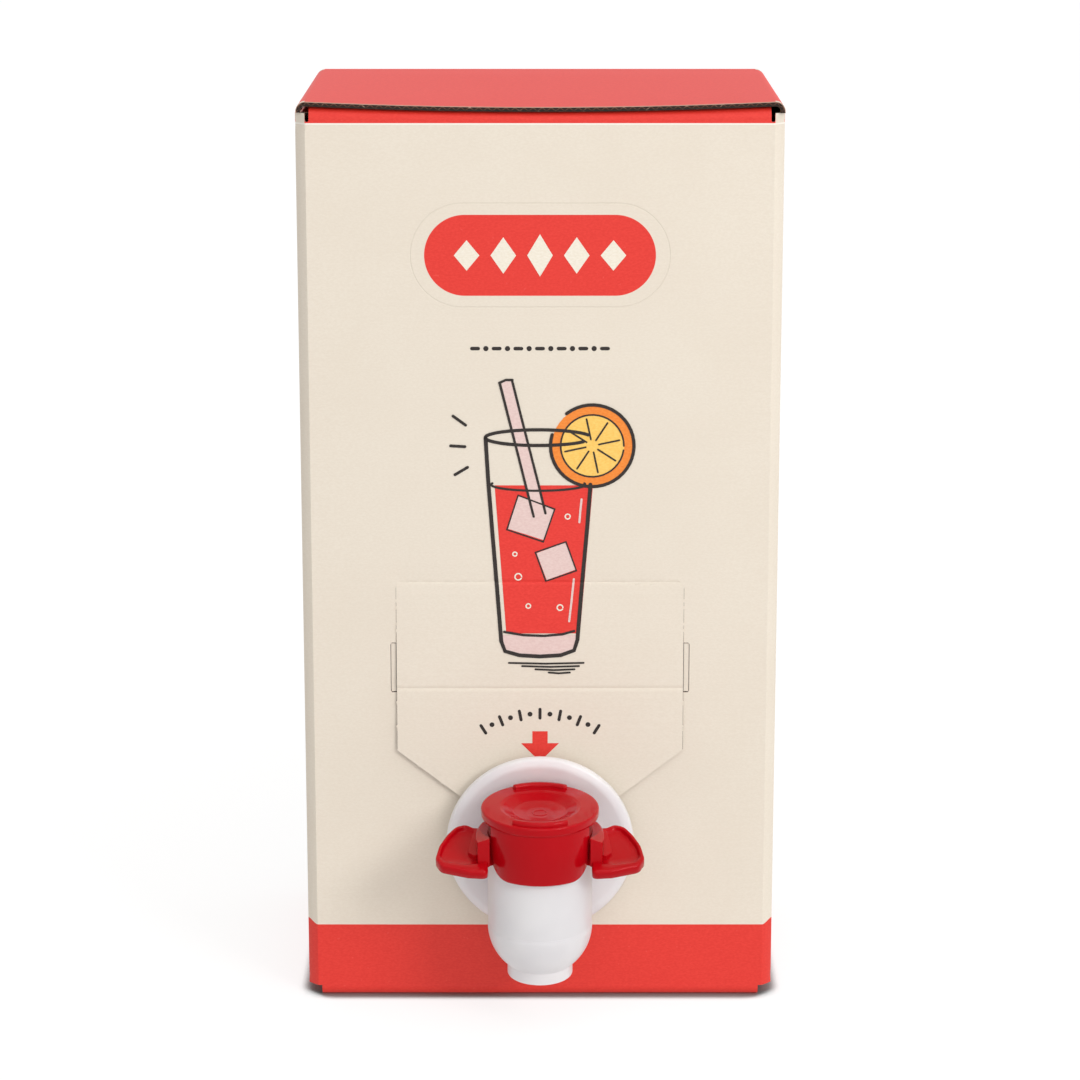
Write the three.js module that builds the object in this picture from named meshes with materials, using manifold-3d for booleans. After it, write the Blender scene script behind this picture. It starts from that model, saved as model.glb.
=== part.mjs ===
// A drinks box with a push-button tap: a corrugated carton folded from one blank, the filled
// bag that it holds, the bag's spout gland and the tap that is pushed into the gland.
// Millimetres, +Z up. The origin is the middle of the carton's base, and the front faces -Y.
import * as THREE from "three";
import { mergeVertices } from "three/addons/utils/BufferGeometryUtils.js";
import Module from "manifold-3d";

const wasm = await Module();
wasm.setup();

// Carton
const BOX_WIDTH = 114;
const BOX_DEPTH = 78;
const BOX_HEIGHT = 220;
const BOARD = 1.1; // fine-flute corrugated board
const LAYER_GAP = 0.3; // air between folded layers
const FOLD_RADIUS = 2.4; // outside radius of every crease
const CORNER_SLOT = 0.9; // die-cut slot between a flap and its corner
const LID_SETBACK = 0.3; // lid edge behind the front and back faces
const SHORT_FLAP = 30; // inner flaps at top and bottom
const POST_DROP = 2.7; // top and base of a corner below the carton's own
const FOLD_STEPS = 6;

// Tear-open hatch in the front panel
const HATCH_HALF_WIDTH = 34.5;
const HATCH_TOP = 105.2;
const HATCH_SHOULDER = 63.4; // where the sides turn in towards the tap
const HATCH_CORNER = 1.4; // rounding of its two top corners
const HATCH_SLIT = 0.4;
const HATCH_LIFT = 1.2; // how far its lower edge stands out
const GRIP_SLOT_WIDTH = 1.5;
const GRIP_SLOT_TOP = 90.2;
const GRIP_SLOT_BASE = 77.8;
const CREASE_HEIGHT = 78.8;
const CREASE_DEPTH = 0.35;
const CREASE_WIDTH = 0.5;

// Gland, which clips through the front panel
const GLAND_HEIGHT = 41; // gland centre above the base
const PANEL_HOLE_RADIUS = 14.6;
const GLAND_RADIUS = 13;
const GLAND_BORE = 10.9;
const GRIP_FLANGE_RADIUS = 17.5;
const GRIP_FLANGE = 1;
const WELD_FLANGE_RADIUS = 24;
const WELD_FLANGE = 1.4;
const WELD_FLANGE_SETBACK = 3; // behind the inner grip flange
const TAP_DROOP = 5; // degrees that the loosely held tap leans forward
const PIECE_GAP = 0.3; // between pieces that seat on each other

// Tap body
const COLLAR_RADIUS = 22.8;
const COLLAR = 2.7;
const COLLAR_LIP = 1.7; // rounding of its front edge
const BARREL_RADIUS = 8.4;
const BARREL_BORE = 6.6;
const SPIGOT_RADIUS = 10.6; // the end that is pushed into the gland
const CHAMBER_REACH = 20.2; // chamber axis in front of the panel
const CHAMBER_RADIUS = 12.4;
const CHAMBER_WALL = 1.5;
const CHAMBER_TOP = 10; // above the gland's centre
const CHAMBER_BASE = -14;
const SPOUT_TOP = -23.2;
const SPOUT_TIP = -26.4;
const SPOUT_RADIUS = 7.8;
const SPOUT_WALL = 1.3;
const SEAT_LEVEL = -19.2; // upper face of the valve's seat
const SEAT_RADIUS = 5; // throat that the valve closes
const SEAT_THICKNESS = 1.4;

// Push button, valve and return dome
const BUTTON_TRAVEL = 4;
const BUTTON_RADIUS = 14;
const BUTTON_TOP = 16.8;
const BUTTON_RIM = 2.3;
const BUTTON_EDGE = 0.7; // rounding of the rim
const DISH_RADIUS = 9.1;
const DISH_DEPTH = 1.5;
const RIDGE_RADIUS = 11.6;
const RIDGE_WIDTH = 1.5;
const RIDGE_HEIGHT = 0.9;
const RIDGE_HALF_ANGLE = 36; // degrees either side of front and back
const APRON_GAP = 0.35;
const APRON = 1;
const APRON_HALF_ANGLE = 56;
const APRON_BASE = 2;
const APRON_CORNER = 5;
const BOSS_RADIUS = 3.4;
const BOSS_LENGTH = 3;
const STEM_RADIUS = 2.2;
const SEAL_RADIUS = 6.15;
const SEAL_THICKNESS = 1.3;
const DOME_RADIUS = 12;
const DOME_WALL = 0.9;
const DOME_FOOT = 0.8; // flat ring under the dome

// Finger wings, one moulding that clips round the back of the chamber
const CLIP_GAP = 0.3;
const CLIP = 1.4;
const CLIP_OPEN_ANGLE = 63; // degrees from the front to each end of the clip
const CLIP_HEIGHT = 1.2;
const CHEEK_END_ANGLE = 112;
const CHEEK_BASE = 4.4;
const POST_WIDTH = 2.2;
const POST_DEPTH = 4.4;
const POST_BASE = 4;
const WING_SPAN = 24.2; // from the middle to a wing's tip
const WING_FRONT = 12; // ahead of the chamber axis, near the root
const WING_FRONT_TIP = 8.8;
const WING_BACK = 5.6;
const WING_SWEEP = 5.2; // the rear corner's distance inside the tip
const WING_NOSE = 0.9; // how far the front corner reaches inside the root
const WING_CORNER = 1.2;
const WING_THICKNESS = 1.6;
const WING_LIP = 0.9;
const WING_LIP_WIDTH = 1.1;
const WING_TILT = 13; // degrees that the wings fall towards the front
const WING_HEIGHT = 7.3; // upper face over the chamber axis, above the gland's centre
const WING_ROOT_LAP = 1;

// Bag
const BAG_CLEARANCE = 1.2;
const BAG_HEADSPACE = 7;
const BAG_ROUNDING = 14;

const SIDES = 40;
const CUT = 1; // how far a cutting solid runs past what it cuts
const RAD = Math.PI / 180;

const innerRadius = FOLD_RADIUS - BOARD;
const frontFace = -BOX_DEPTH / 2;

// Solids

function solidFrom(geometry) {
  geometry.deleteAttribute("normal");
  geometry.deleteAttribute("uv");
  const merged = mergeVertices(geometry, 1e-4);
  return new wasm.Manifold(
    new wasm.Mesh({
      numProp: 3,
      vertProperties: merged.attributes.position.array,
      triVerts: new Uint32Array(merged.index.array),
    }),
  );
}

function geometryFrom(solid) {
  const { vertProperties, triVerts } = solid.getMesh();
  const geometry = new THREE.BufferGeometry();
  geometry.setAttribute("position", new THREE.BufferAttribute(vertProperties, 3));
  geometry.setIndex(new THREE.BufferAttribute(triVerts, 1));
  geometry.computeVertexNormals();
  return geometry;
}

function join(...solids) {
  return solids.reduce((whole, piece) => whole.add(piece));
}

function cut(solid, ...tools) {
  return tools.reduce((rest, tool) => rest.subtract(tool), solid);
}

function outline(points, holes = []) {
  const shape = new THREE.Shape(points.map(([x, y]) => new THREE.Vector2(x, y)));
  shape.holes = holes.map(
    (hole) => new THREE.Path(hole.map(([x, y]) => new THREE.Vector2(x, y))),
  );
  return shape;
}

function extruded(shape, depth) {
  return new THREE.ExtrudeGeometry(shape, {
    depth,
    bevelEnabled: false,
    curveSegments: SIDES / 4,
  });
}

// An outline in (x, z), standing from the plane y = back towards the front, y = front.
function uprightPlate(shape, front, back) {
  const geometry = extruded(shape, back - front);
  geometry.rotateX(Math.PI / 2);
  return solidFrom(geometry.translate(0, back, 0));
}

// An outline in (x, y), standing from z = base to z = top.
function standingPlate(shape, base, top) {
  return solidFrom(extruded(shape, top - base).translate(0, 0, base));
}

// An outline in (y, z), running from x = left to x = right.
function crossPlate(shape, left, right) {
  const along = new THREE.Matrix4().makeBasis(
    new THREE.Vector3(0, 1, 0),
    new THREE.Vector3(0, 0, 1),
    new THREE.Vector3(1, 0, 0),
  );
  const geometry = extruded(shape, right - left).applyMatrix4(along);
  return solidFrom(geometry.translate(left, 0, 0));
}

function block(x0, x1, y0, y1, z0, z1) {
  const geometry = new THREE.BoxGeometry(x1 - x0, y1 - y0, z1 - z0);
  return solidFrom(
    geometry.translate((x0 + x1) / 2, (y0 + y1) / 2, (z0 + z1) / 2),
  );
}

// A turned solid about the upright axis, from [radius, height] points given from the base up.
function turned(profile, sides = SIDES) {
  const points = profile.map(([radius, height]) => new THREE.Vector2(radius, height));
  const geometry = new THREE.LatheGeometry([...points, points[0]], sides);
  return solidFrom(geometry.rotateX(Math.PI / 2));
}

// The same, about the barrel's axis: heights become distances in front of the panel.
function turnedForward(profile, sides = SIDES) {
  const points = profile.map(([radius, reach]) => new THREE.Vector2(radius, -reach));
  const geometry = new THREE.LatheGeometry([...points, points[0]].reverse(), sides);
  return solidFrom(geometry);
}

function arc(x, y, radius, from, to, steps = FOLD_STEPS) {
  return Array.from({ length: steps + 1 }, (_, i) => {
    const angle = (from + ((to - from) * i) / steps) * RAD;
    return [x + radius * Math.cos(angle), y + radius * Math.sin(angle)];
  });
}

function roundedRectangle(width, height, radius) {
  const x = width / 2 - radius;
  const y = height / 2 - radius;
  return [
    ...arc(x, y, radius, 0, 90),
    ...arc(-x, y, radius, 90, 180),
    ...arc(-x, -y, radius, 180, 270),
    ...arc(x, -y, radius, 270, 360),
  ];
}

// Carton

// The section of a crease and its flap: the panel's outer face is at 0 and the flap's outer
// face at 0, with the panel below it and the flap running to +length. side -1 mirrors the
// panel, and up -1 turns the fold over for the base.
function foldSection(edge, level, length, lap, side, up) {
  const points = [
    [0, -FOLD_RADIUS - lap],
    ...arc(FOLD_RADIUS, -FOLD_RADIUS, FOLD_RADIUS, 180, 90),
    [length, 0],
    [length, -BOARD],
    ...arc(FOLD_RADIUS, -FOLD_RADIUS, innerRadius, 90, 180),
    [BOARD, -FOLD_RADIUS - lap],
  ];
  return outline(points.map(([u, v]) => [edge + side * u, level + up * v]));
}

const LID_LEVEL = BOX_HEIGHT;
const FRONT_FLAP_LEVEL = LID_LEVEL - BOARD - LAYER_GAP;
const LEFT_FLAP_LEVEL = FRONT_FLAP_LEVEL - BOARD - LAYER_GAP;
const SIDE_BASE_LEVEL = BOARD + LAYER_GAP;
const BACK_BASE_LEVEL = SIDE_BASE_LEVEL + BOARD + LAYER_GAP;

function cartonWalls() {
  const outer = roundedRectangle(BOX_WIDTH, BOX_DEPTH, FOLD_RADIUS);
  const inner = roundedRectangle(
    BOX_WIDTH - 2 * BOARD,
    BOX_DEPTH - 2 * BOARD,
    innerRadius,
  );
  const tube = standingPlate(
    outline(outer, [inner]),
    POST_DROP,
    BOX_HEIGHT - POST_DROP,
  );
  const halfWidth = BOX_WIDTH / 2 - FOLD_RADIUS;
  const halfDepth = BOX_DEPTH / 2 - FOLD_RADIUS;
  const frontTop = FRONT_FLAP_LEVEL - FOLD_RADIUS;
  const leftTop = LEFT_FLAP_LEVEL - FOLD_RADIUS;
  const reach = BOARD + CUT;
  const above = BOX_HEIGHT + CUT;
  const wide = BOX_WIDTH / 2 + CUT;
  const deep = BOX_DEPTH / 2 + CUT;
  return cut(
    tube,
    block(-halfWidth, halfWidth, -deep, -deep + reach + CUT, frontTop, above),
    block(-halfWidth, halfWidth, deep - reach - CUT, deep, frontTop, above),
    block(-wide, -wide + reach + CUT, -halfDepth, halfDepth, leftTop, above),
    block(-halfWidth, halfWidth, deep - reach - CUT, deep, -CUT, BACK_BASE_LEVEL + FOLD_RADIUS),
    block(-wide, -wide + reach + CUT, -halfDepth, halfDepth, -CUT, SIDE_BASE_LEVEL + FOLD_RADIUS),
    block(wide - reach - CUT, wide, -halfDepth, halfDepth, -CUT, SIDE_BASE_LEVEL + FOLD_RADIUS),
  );
}

function cartonFlaps() {
  const lap = BOARD;
  const across = BOX_WIDTH / 2 - FOLD_RADIUS - CORNER_SLOT;
  const along = BOX_DEPTH / 2 - FOLD_RADIUS - CORNER_SLOT;
  const right = BOX_WIDTH / 2;
  const back = BOX_DEPTH / 2;
  const lidEdge = BOX_DEPTH / 2 - LID_SETBACK;

  // The lid is the right-hand flap: it runs over the whole top, and its free end rolls down
  // over the left-hand corner.
  const lidFold = foldSection(right, LID_LEVEL, BOX_WIDTH / 2, 0, -1, 1);
  const lidRoll = foldSection(-right + LAYER_GAP, LID_LEVEL, BOX_WIDTH / 2, 0, 1, 1);
  const lidStem = outline([
    [right - BOARD, LID_LEVEL - POST_DROP - lap],
    [right, LID_LEVEL - POST_DROP - lap],
    [right, LID_LEVEL - FOLD_RADIUS],
    [right - BOARD, LID_LEVEL - FOLD_RADIUS],
  ]);
  const leftFlap = foldSection(-right, LEFT_FLAP_LEVEL, SHORT_FLAP, lap, 1, 1);
  const frontFlap = foldSection(-back, FRONT_FLAP_LEVEL, SHORT_FLAP, lap, 1, 1);
  const backFlap = foldSection(back, FRONT_FLAP_LEVEL, SHORT_FLAP, lap, -1, 1);

  // The base is the front panel's flap: it runs under the whole carton.
  const baseFlap = foldSection(-back, 0, BOX_DEPTH - LID_SETBACK, lap + POST_DROP, 1, -1);
  const backBaseFlap = foldSection(back, BACK_BASE_LEVEL, SHORT_FLAP, lap, -1, -1);
  const leftBaseFlap = foldSection(-right, SIDE_BASE_LEVEL, SHORT_FLAP, lap, 1, -1);
  const rightBaseFlap = foldSection(right, SIDE_BASE_LEVEL, SHORT_FLAP, lap, -1, -1);

  return join(
    uprightPlate(lidFold, -lidEdge, lidEdge),
    uprightPlate(lidRoll, -lidEdge, lidEdge),
    uprightPlate(lidStem, -along, along),
    uprightPlate(leftFlap, -along, along),
    uprightPlate(leftBaseFlap, -along, along),
    uprightPlate(rightBaseFlap, -along, along),
    crossPlate(frontFlap, -across, across),
    crossPlate(backFlap, -across, across),
    crossPlate(baseFlap, -across, across),
    crossPlate(backBaseFlap, -across, across),
  );
}

// The lower sides of the hatch run down to the panel's hole for the gland.
const hatchNeck = PANEL_HOLE_RADIUS * Math.cos(25 * RAD);
const hatchBase = GLAND_HEIGHT + PANEL_HOLE_RADIUS * Math.sin(25 * RAD);

function hatchOutline(grow) {
  const half = HATCH_HALF_WIDTH + grow;
  const corner = HATCH_CORNER + grow;
  return [
    [-hatchNeck - grow, hatchBase],
    [-half, HATCH_SHOULDER],
    ...arc(-half + corner, HATCH_TOP + grow - corner, corner, 180, 90, 3),
    ...arc(half - corner, HATCH_TOP + grow - corner, corner, 90, 0, 3),
    [half, HATCH_SHOULDER],
    [hatchNeck + grow, hatchBase],
  ];
}

function panelHole(front, back) {
  const circle = arc(0, GLAND_HEIGHT, PANEL_HOLE_RADIUS, 0, 360 - 360 / SIDES, SIDES - 1);
  return uprightPlate(outline(circle), front, back);
}

// The hatch is one with the panel along its top crease, and stands out towards its lower edge.
function hatch() {
  const inside = frontFace + BOARD;
  const plate = cut(
    uprightPlate(outline(hatchOutline(0)), frontFace, inside),
    panelHole(frontFace - CUT, inside + CUT),
    block(
      -HATCH_HALF_WIDTH,
      HATCH_HALF_WIDTH,
      frontFace - CUT,
      frontFace + CREASE_DEPTH,
      CREASE_HEIGHT - CREASE_WIDTH / 2,
      CREASE_HEIGHT + CREASE_WIDTH / 2,
    ),
  );
  const swing = Math.asin(HATCH_LIFT / (HATCH_TOP - hatchBase)) / RAD;
  return plate
    .translate([0, -inside, -HATCH_TOP])
    .rotate([-swing, 0, 0])
    .translate([0, inside, HATCH_TOP]);
}

function hatchOpening() {
  const inside = frontFace + BOARD;
  const hinge = block(
    -HATCH_HALF_WIDTH + HATCH_CORNER,
    HATCH_HALF_WIDTH - HATCH_CORNER,
    frontFace,
    inside,
    HATCH_TOP - BOARD,
    HATCH_TOP + HATCH_SLIT,
  );
  return cut(
    uprightPlate(outline(hatchOutline(HATCH_SLIT)), frontFace - CUT, inside + CUT),
    hinge,
  );
}

function gripSlot(side) {
  const near = side * (HATCH_HALF_WIDTH + HATCH_SLIT / 2);
  const far = side * (HATCH_HALF_WIDTH + HATCH_SLIT / 2 + GRIP_SLOT_WIDTH);
  return block(
    Math.min(near, far),
    Math.max(near, far),
    frontFace - CUT,
    frontFace + BOARD + CUT,
    GRIP_SLOT_BASE,
    GRIP_SLOT_TOP,
  );
}

function carton() {
  const shell = join(cartonWalls(), cartonFlaps());
  const opened = cut(
    shell,
    hatchOpening(),
    panelHole(frontFace - CUT, frontFace + BOARD + CUT),
    gripSlot(-1),
    gripSlot(1),
  );
  return join(opened, hatch());
}

// Gland and bag. From here on the tap group's own frame is used: its origin is the gland's
// centre on the panel's outer face, -Y runs out along the barrel, and Z is the tap's own up.
const droopSine = Math.sin(TAP_DROOP * RAD);
const flangeSwing = GRIP_FLANGE_RADIUS * droopSine;
const outerFlangeBack = flangeSwing + PIECE_GAP; // in front of the panel
const innerFlangeFront = -(BOARD + flangeSwing + PIECE_GAP);
const collarBack = outerFlangeBack + GRIP_FLANGE + PIECE_GAP;
const collarFront = collarBack + COLLAR;
const innerFlangeBack = innerFlangeFront - GRIP_FLANGE;
const weldFront = innerFlangeBack - WELD_FLANGE_SETBACK;
const weldBack = weldFront - WELD_FLANGE;

function spoutGland() {
  return turnedForward([
    [GLAND_BORE, weldBack],
    [WELD_FLANGE_RADIUS, weldBack],
    [WELD_FLANGE_RADIUS, weldFront],
    [GLAND_RADIUS, weldFront],
    [GLAND_RADIUS, innerFlangeBack],
    [GRIP_FLANGE_RADIUS, innerFlangeBack],
    [GRIP_FLANGE_RADIUS, innerFlangeFront],
    [GLAND_RADIUS, innerFlangeFront],
    [GLAND_RADIUS, outerFlangeBack],
    [GRIP_FLANGE_RADIUS, outerFlangeBack],
    [GRIP_FLANGE_RADIUS, outerFlangeBack + GRIP_FLANGE],
    [GLAND_BORE, outerFlangeBack + GRIP_FLANGE],
  ]);
}

// The filled bag, in the carton's frame. It swells forward to the panel round a pocket that
// holds the gland, and the pocket's floor lies on the back of the weld flange.
function filledBag() {
  const halfWidth = BOX_WIDTH / 2 - BOARD - BAG_CLEARANCE;
  const flangeSink = WELD_FLANGE_RADIUS * droopSine;
  const pocketFloor = frontFace - weldBack + flangeSink + PIECE_GAP;
  const pocketRadius = WELD_FLANGE_RADIUS + BAG_CLEARANCE;
  const front = frontFace + BOARD + BAG_CLEARANCE;
  const back = BOX_DEPTH / 2 - BOARD - BAG_CLEARANCE;
  const base = BACK_BASE_LEVEL + BOARD + BAG_CLEARANCE;
  const top = LEFT_FLAP_LEVEL - BOARD - BAG_HEADSPACE;
  const depth = back - front;
  const section = outline(roundedRectangle(2 * halfWidth, depth, BAG_ROUNDING));
  const side = roundedRectangle(depth, top - base, BAG_ROUNDING);
  const face = roundedRectangle(2 * halfWidth, top - base, BAG_ROUNDING);
  const middle = [0, (front + back) / 2, (base + top) / 2];
  const upright = standingPlate(section, (base - top) / 2, (top - base) / 2);
  const across = crossPlate(outline(side), -halfWidth, halfWidth);
  const through = uprightPlate(outline(face), -depth / 2, depth / 2);
  const pocket = uprightPlate(
    outline(arc(0, GLAND_HEIGHT, pocketRadius, 0, 360 - 360 / SIDES, SIDES - 1)),
    front - CUT,
    pocketFloor,
  );
  return cut(upright.intersect(across).intersect(through).translate(middle), pocket);
}

// Tap body

function chamberOutside() {
  return turned([
    [0, SPOUT_TIP],
    [SPOUT_RADIUS, SPOUT_TIP],
    [SPOUT_RADIUS, SPOUT_TOP],
    ...shoulderCurve(CHAMBER_RADIUS, SPOUT_RADIUS, CHAMBER_BASE, SPOUT_TOP),
    [CHAMBER_RADIUS, CHAMBER_TOP],
    [0, CHAMBER_TOP],
  ]);
}

// The rounded shoulder between the chamber and the spout, as an ellipse's quarter cut short.
function shoulderCurve(wide, narrow, top, base) {
  const last = Math.acos(narrow / wide);
  return Array.from({ length: 9 }, (_, i) => {
    const angle = last * (1 - i / 8);
    const drop = ((top - base) * Math.sin(angle)) / Math.sin(last);
    return [wide * Math.cos(angle), top - drop];
  });
}

const seatTop = SEAT_LEVEL;
const seatBase = seatTop - SEAT_THICKNESS;
const spoutBore = SPOUT_RADIUS - SPOUT_WALL;
const chamberBore = CHAMBER_RADIUS - CHAMBER_WALL;

function chamberInside() {
  return join(
    turned([
      [0, seatTop],
      ...shoulderCurve(chamberBore, spoutBore, CHAMBER_BASE, seatTop),
      [chamberBore, CHAMBER_TOP + CUT],
      [0, CHAMBER_TOP + CUT],
    ]),
    turned([
      [0, SPOUT_TIP - CUT],
      [spoutBore, SPOUT_TIP - CUT],
      [spoutBore, seatBase],
      [0, seatBase],
    ]),
    turned([
      [0, seatBase - CUT],
      [SEAT_RADIUS, seatBase - CUT],
      [SEAT_RADIUS, seatTop + CUT],
      [0, seatTop + CUT],
    ]),
  );
}

function barrelOutside() {
  return turnedForward([
    [0, weldFront],
    [SPIGOT_RADIUS, weldFront],
    [SPIGOT_RADIUS, collarBack],
    [COLLAR_RADIUS - COLLAR_LIP / 3, collarBack],
    ...arc(COLLAR_RADIUS - COLLAR_LIP, collarFront - COLLAR_LIP, COLLAR_LIP, 0, 90, 5),
    [BARREL_RADIUS + COLLAR_LIP, collarFront - COLLAR / 4],
    [BARREL_RADIUS, collarFront],
    [BARREL_RADIUS, CHAMBER_REACH],
    [0, CHAMBER_REACH],
  ]);
}

function tapBody() {
  const forward = [0, -CHAMBER_REACH, 0];
  const barrelBore = turnedForward([
    [0, weldFront - CUT],
    [BARREL_BORE, weldFront - CUT],
    [BARREL_BORE, CHAMBER_REACH],
    [0, CHAMBER_REACH],
  ]);
  const outside = join(barrelOutside(), chamberOutside().translate(forward));
  return cut(outside, barrelBore, chamberInside().translate(forward));
}

// Button, stem, seal and dome, about the chamber's own axis.

// A point on the chamber's girth: angle 0 is the front.
function girthPoint(radius, angle) {
  return [radius * Math.sin(angle * RAD), -radius * Math.cos(angle * RAD)];
}

function girthBand(inner, outer, from, to, steps) {
  const angles = Array.from({ length: steps + 1 }, (_, i) => from + ((to - from) * i) / steps);
  return outline([
    ...angles.map((angle) => girthPoint(outer, angle)),
    ...angles.reverse().map((angle) => girthPoint(inner, angle)),
  ]);
}

const rimBase = BUTTON_TOP - BUTTON_RIM;
const apronInner = CHAMBER_RADIUS + APRON_GAP;
const apronOuter = apronInner + APRON;

function apron() {
  const halfWidth = apronOuter * Math.sin(APRON_HALF_ANGLE * RAD);
  const corner = APRON_CORNER;
  const front = uprightPlate(
    outline([
      [-halfWidth, BUTTON_TOP],
      ...arc(-halfWidth + corner, APRON_BASE + corner, corner, 180, 270),
      ...arc(halfWidth - corner, APRON_BASE + corner, corner, 270, 360),
      [halfWidth, BUTTON_TOP],
    ]),
    -apronOuter - CUT,
    0,
  );
  const band = standingPlate(
    girthBand(apronInner, apronOuter, -APRON_HALF_ANGLE, APRON_HALF_ANGLE, 18),
    APRON_BASE,
    rimBase + BUTTON_EDGE,
  );
  return band.intersect(front);
}

function pushButton() {
  const dish = arc(0, 0, 1, 0, 90, 7).map(([x, y]) => [
    DISH_RADIUS * x,
    BUTTON_TOP - DISH_DEPTH * y,
  ]);
  const disc = turned([
    [0, rimBase],
    ...arc(BUTTON_RADIUS - BUTTON_EDGE, rimBase + BUTTON_EDGE, BUTTON_EDGE, 270, 360, 3),
    ...arc(BUTTON_RADIUS - BUTTON_EDGE, BUTTON_TOP - BUTTON_EDGE, BUTTON_EDGE, 0, 90, 3),
    ...dish,
  ]);
  const boss = turned([
    [0, rimBase - BOSS_LENGTH],
    [BOSS_RADIUS, rimBase - BOSS_LENGTH],
    [BOSS_RADIUS, rimBase + BUTTON_EDGE],
    [0, rimBase + BUTTON_EDGE],
  ]);
  const ridges = [0, 180].map((middle) =>
    standingPlate(
      girthBand(
        RIDGE_RADIUS - RIDGE_WIDTH / 2,
        RIDGE_RADIUS + RIDGE_WIDTH / 2,
        middle - RIDGE_HALF_ANGLE,
        middle + RIDGE_HALF_ANGLE,
        12,
      ),
      BUTTON_TOP - BUTTON_EDGE,
      BUTTON_TOP + RIDGE_HEIGHT,
    ),
  );
  return join(disc, boss, apron(), ...ridges);
}

const sealTop = seatBase - PIECE_GAP;
const sealBase = sealTop - SEAL_THICKNESS;

function valveStem() {
  const top = rimBase - BOSS_LENGTH - PIECE_GAP;
  const base = sealTop + PIECE_GAP / 2;
  const guide = chamberBore - PIECE_GAP;
  const fin = BARREL_RADIUS / 4;
  const guideTop = CHAMBER_TOP - DOME_FOOT - BUTTON_TRAVEL / 4;
  const rod = turned(
    [
      [0, base],
      [STEM_RADIUS, base],
      [STEM_RADIUS, top],
      [0, top],
    ],
    SIDES / 2,
  );
  const cross = join(
    block(-guide, guide, -fin / 2, fin / 2, guideTop - fin, guideTop),
    block(-fin / 2, fin / 2, -guide, guide, guideTop - fin, guideTop),
  );
  return join(rod, cross);
}

function valveSeal() {
  return turned([
    [0, sealBase],
    [SEAL_RADIUS - SEAL_THICKNESS / 2, sealBase],
    [SEAL_RADIUS, sealBase + SEAL_THICKNESS / 2],
    [SEAL_RADIUS - SEAL_THICKNESS / 4, sealTop],
    [0, sealTop],
  ]);
}

// An elastic dome between the chamber's rim and the button, open round the button's boss.
function returnDome() {
  const base = CHAMBER_TOP + PIECE_GAP;
  const top = rimBase - PIECE_GAP;
  const throat = BOSS_RADIUS + PIECE_GAP;
  const brow = DOME_RADIUS - 2 * DOME_FOOT;
  return turned([
    [chamberBore - DOME_FOOT, base],
    [DOME_RADIUS, base],
    [DOME_RADIUS, base + DOME_FOOT],
    [brow, top - DOME_FOOT],
    [brow - DOME_FOOT, top],
    [throat, top],
    [throat, top - DOME_WALL],
    [brow - 2 * DOME_FOOT, top - DOME_WALL],
    [chamberBore - DOME_FOOT, base + DOME_FOOT],
  ]);
}

// Finger wings

const clipInner = CHAMBER_RADIUS + CLIP_GAP;
const clipOuter = clipInner + CLIP;
const clipBase = CHAMBER_TOP - CLIP_HEIGHT;

// The outline moved in by inset, along the mean of the two edges that meet at each corner.
function shrunk(points, inset) {
  const corners = points.map(([x, y]) => new THREE.Vector2(x, y));
  const turn = Math.sign(THREE.ShapeUtils.area(corners));
  return corners.map((here, i) => {
    const before = corners[(i + corners.length - 1) % corners.length];
    const after = corners[(i + 1) % corners.length];
    const into = here.clone().sub(before).normalize();
    const away = after.clone().sub(here).normalize();
    const inward = new THREE.Vector2(-into.y - away.y, into.x + away.x).normalize();
    const step = inward.multiplyScalar(turn * inset);
    return [here.x + step.x, here.y + step.y];
  });
}

function wing(side) {
  const root = clipOuter - WING_ROOT_LAP;
  const rear = WING_SPAN - WING_SWEEP;
  const soft = WING_CORNER;
  const points = [
    [root, WING_BACK - soft],
    [root, -WING_FRONT_TIP + soft],
    [root - WING_NOSE, -WING_FRONT + 2 * soft],
    [root - WING_NOSE / 2, -WING_FRONT + soft / 2],
    [root - WING_NOSE + 1.5 * soft, -WING_FRONT],
    [root + 3 * soft, -WING_FRONT + soft / 3],
    [WING_SPAN - soft, -WING_FRONT_TIP],
    [WING_SPAN, -WING_FRONT_TIP + soft],
    [WING_SPAN - soft / 8, -WING_FRONT_TIP + 2 * soft],
    [(WING_SPAN + rear) / 2 + soft / 2, 0],
    [rear + soft / 3, WING_BACK - soft / 2],
    [rear - soft / 2, WING_BACK],
    [rear - 2 * soft, WING_BACK - soft / 2],
  ].map(([x, y]) => [x * side, y]);
  const plate = cut(
    standingPlate(outline(points), -WING_THICKNESS, WING_LIP),
    standingPlate(outline(shrunk(points, WING_LIP_WIDTH)), 0, WING_LIP + CUT),
  );
  return plate.rotate([WING_TILT, 0, 0]).translate([0, 0, WING_HEIGHT]);
}

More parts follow.
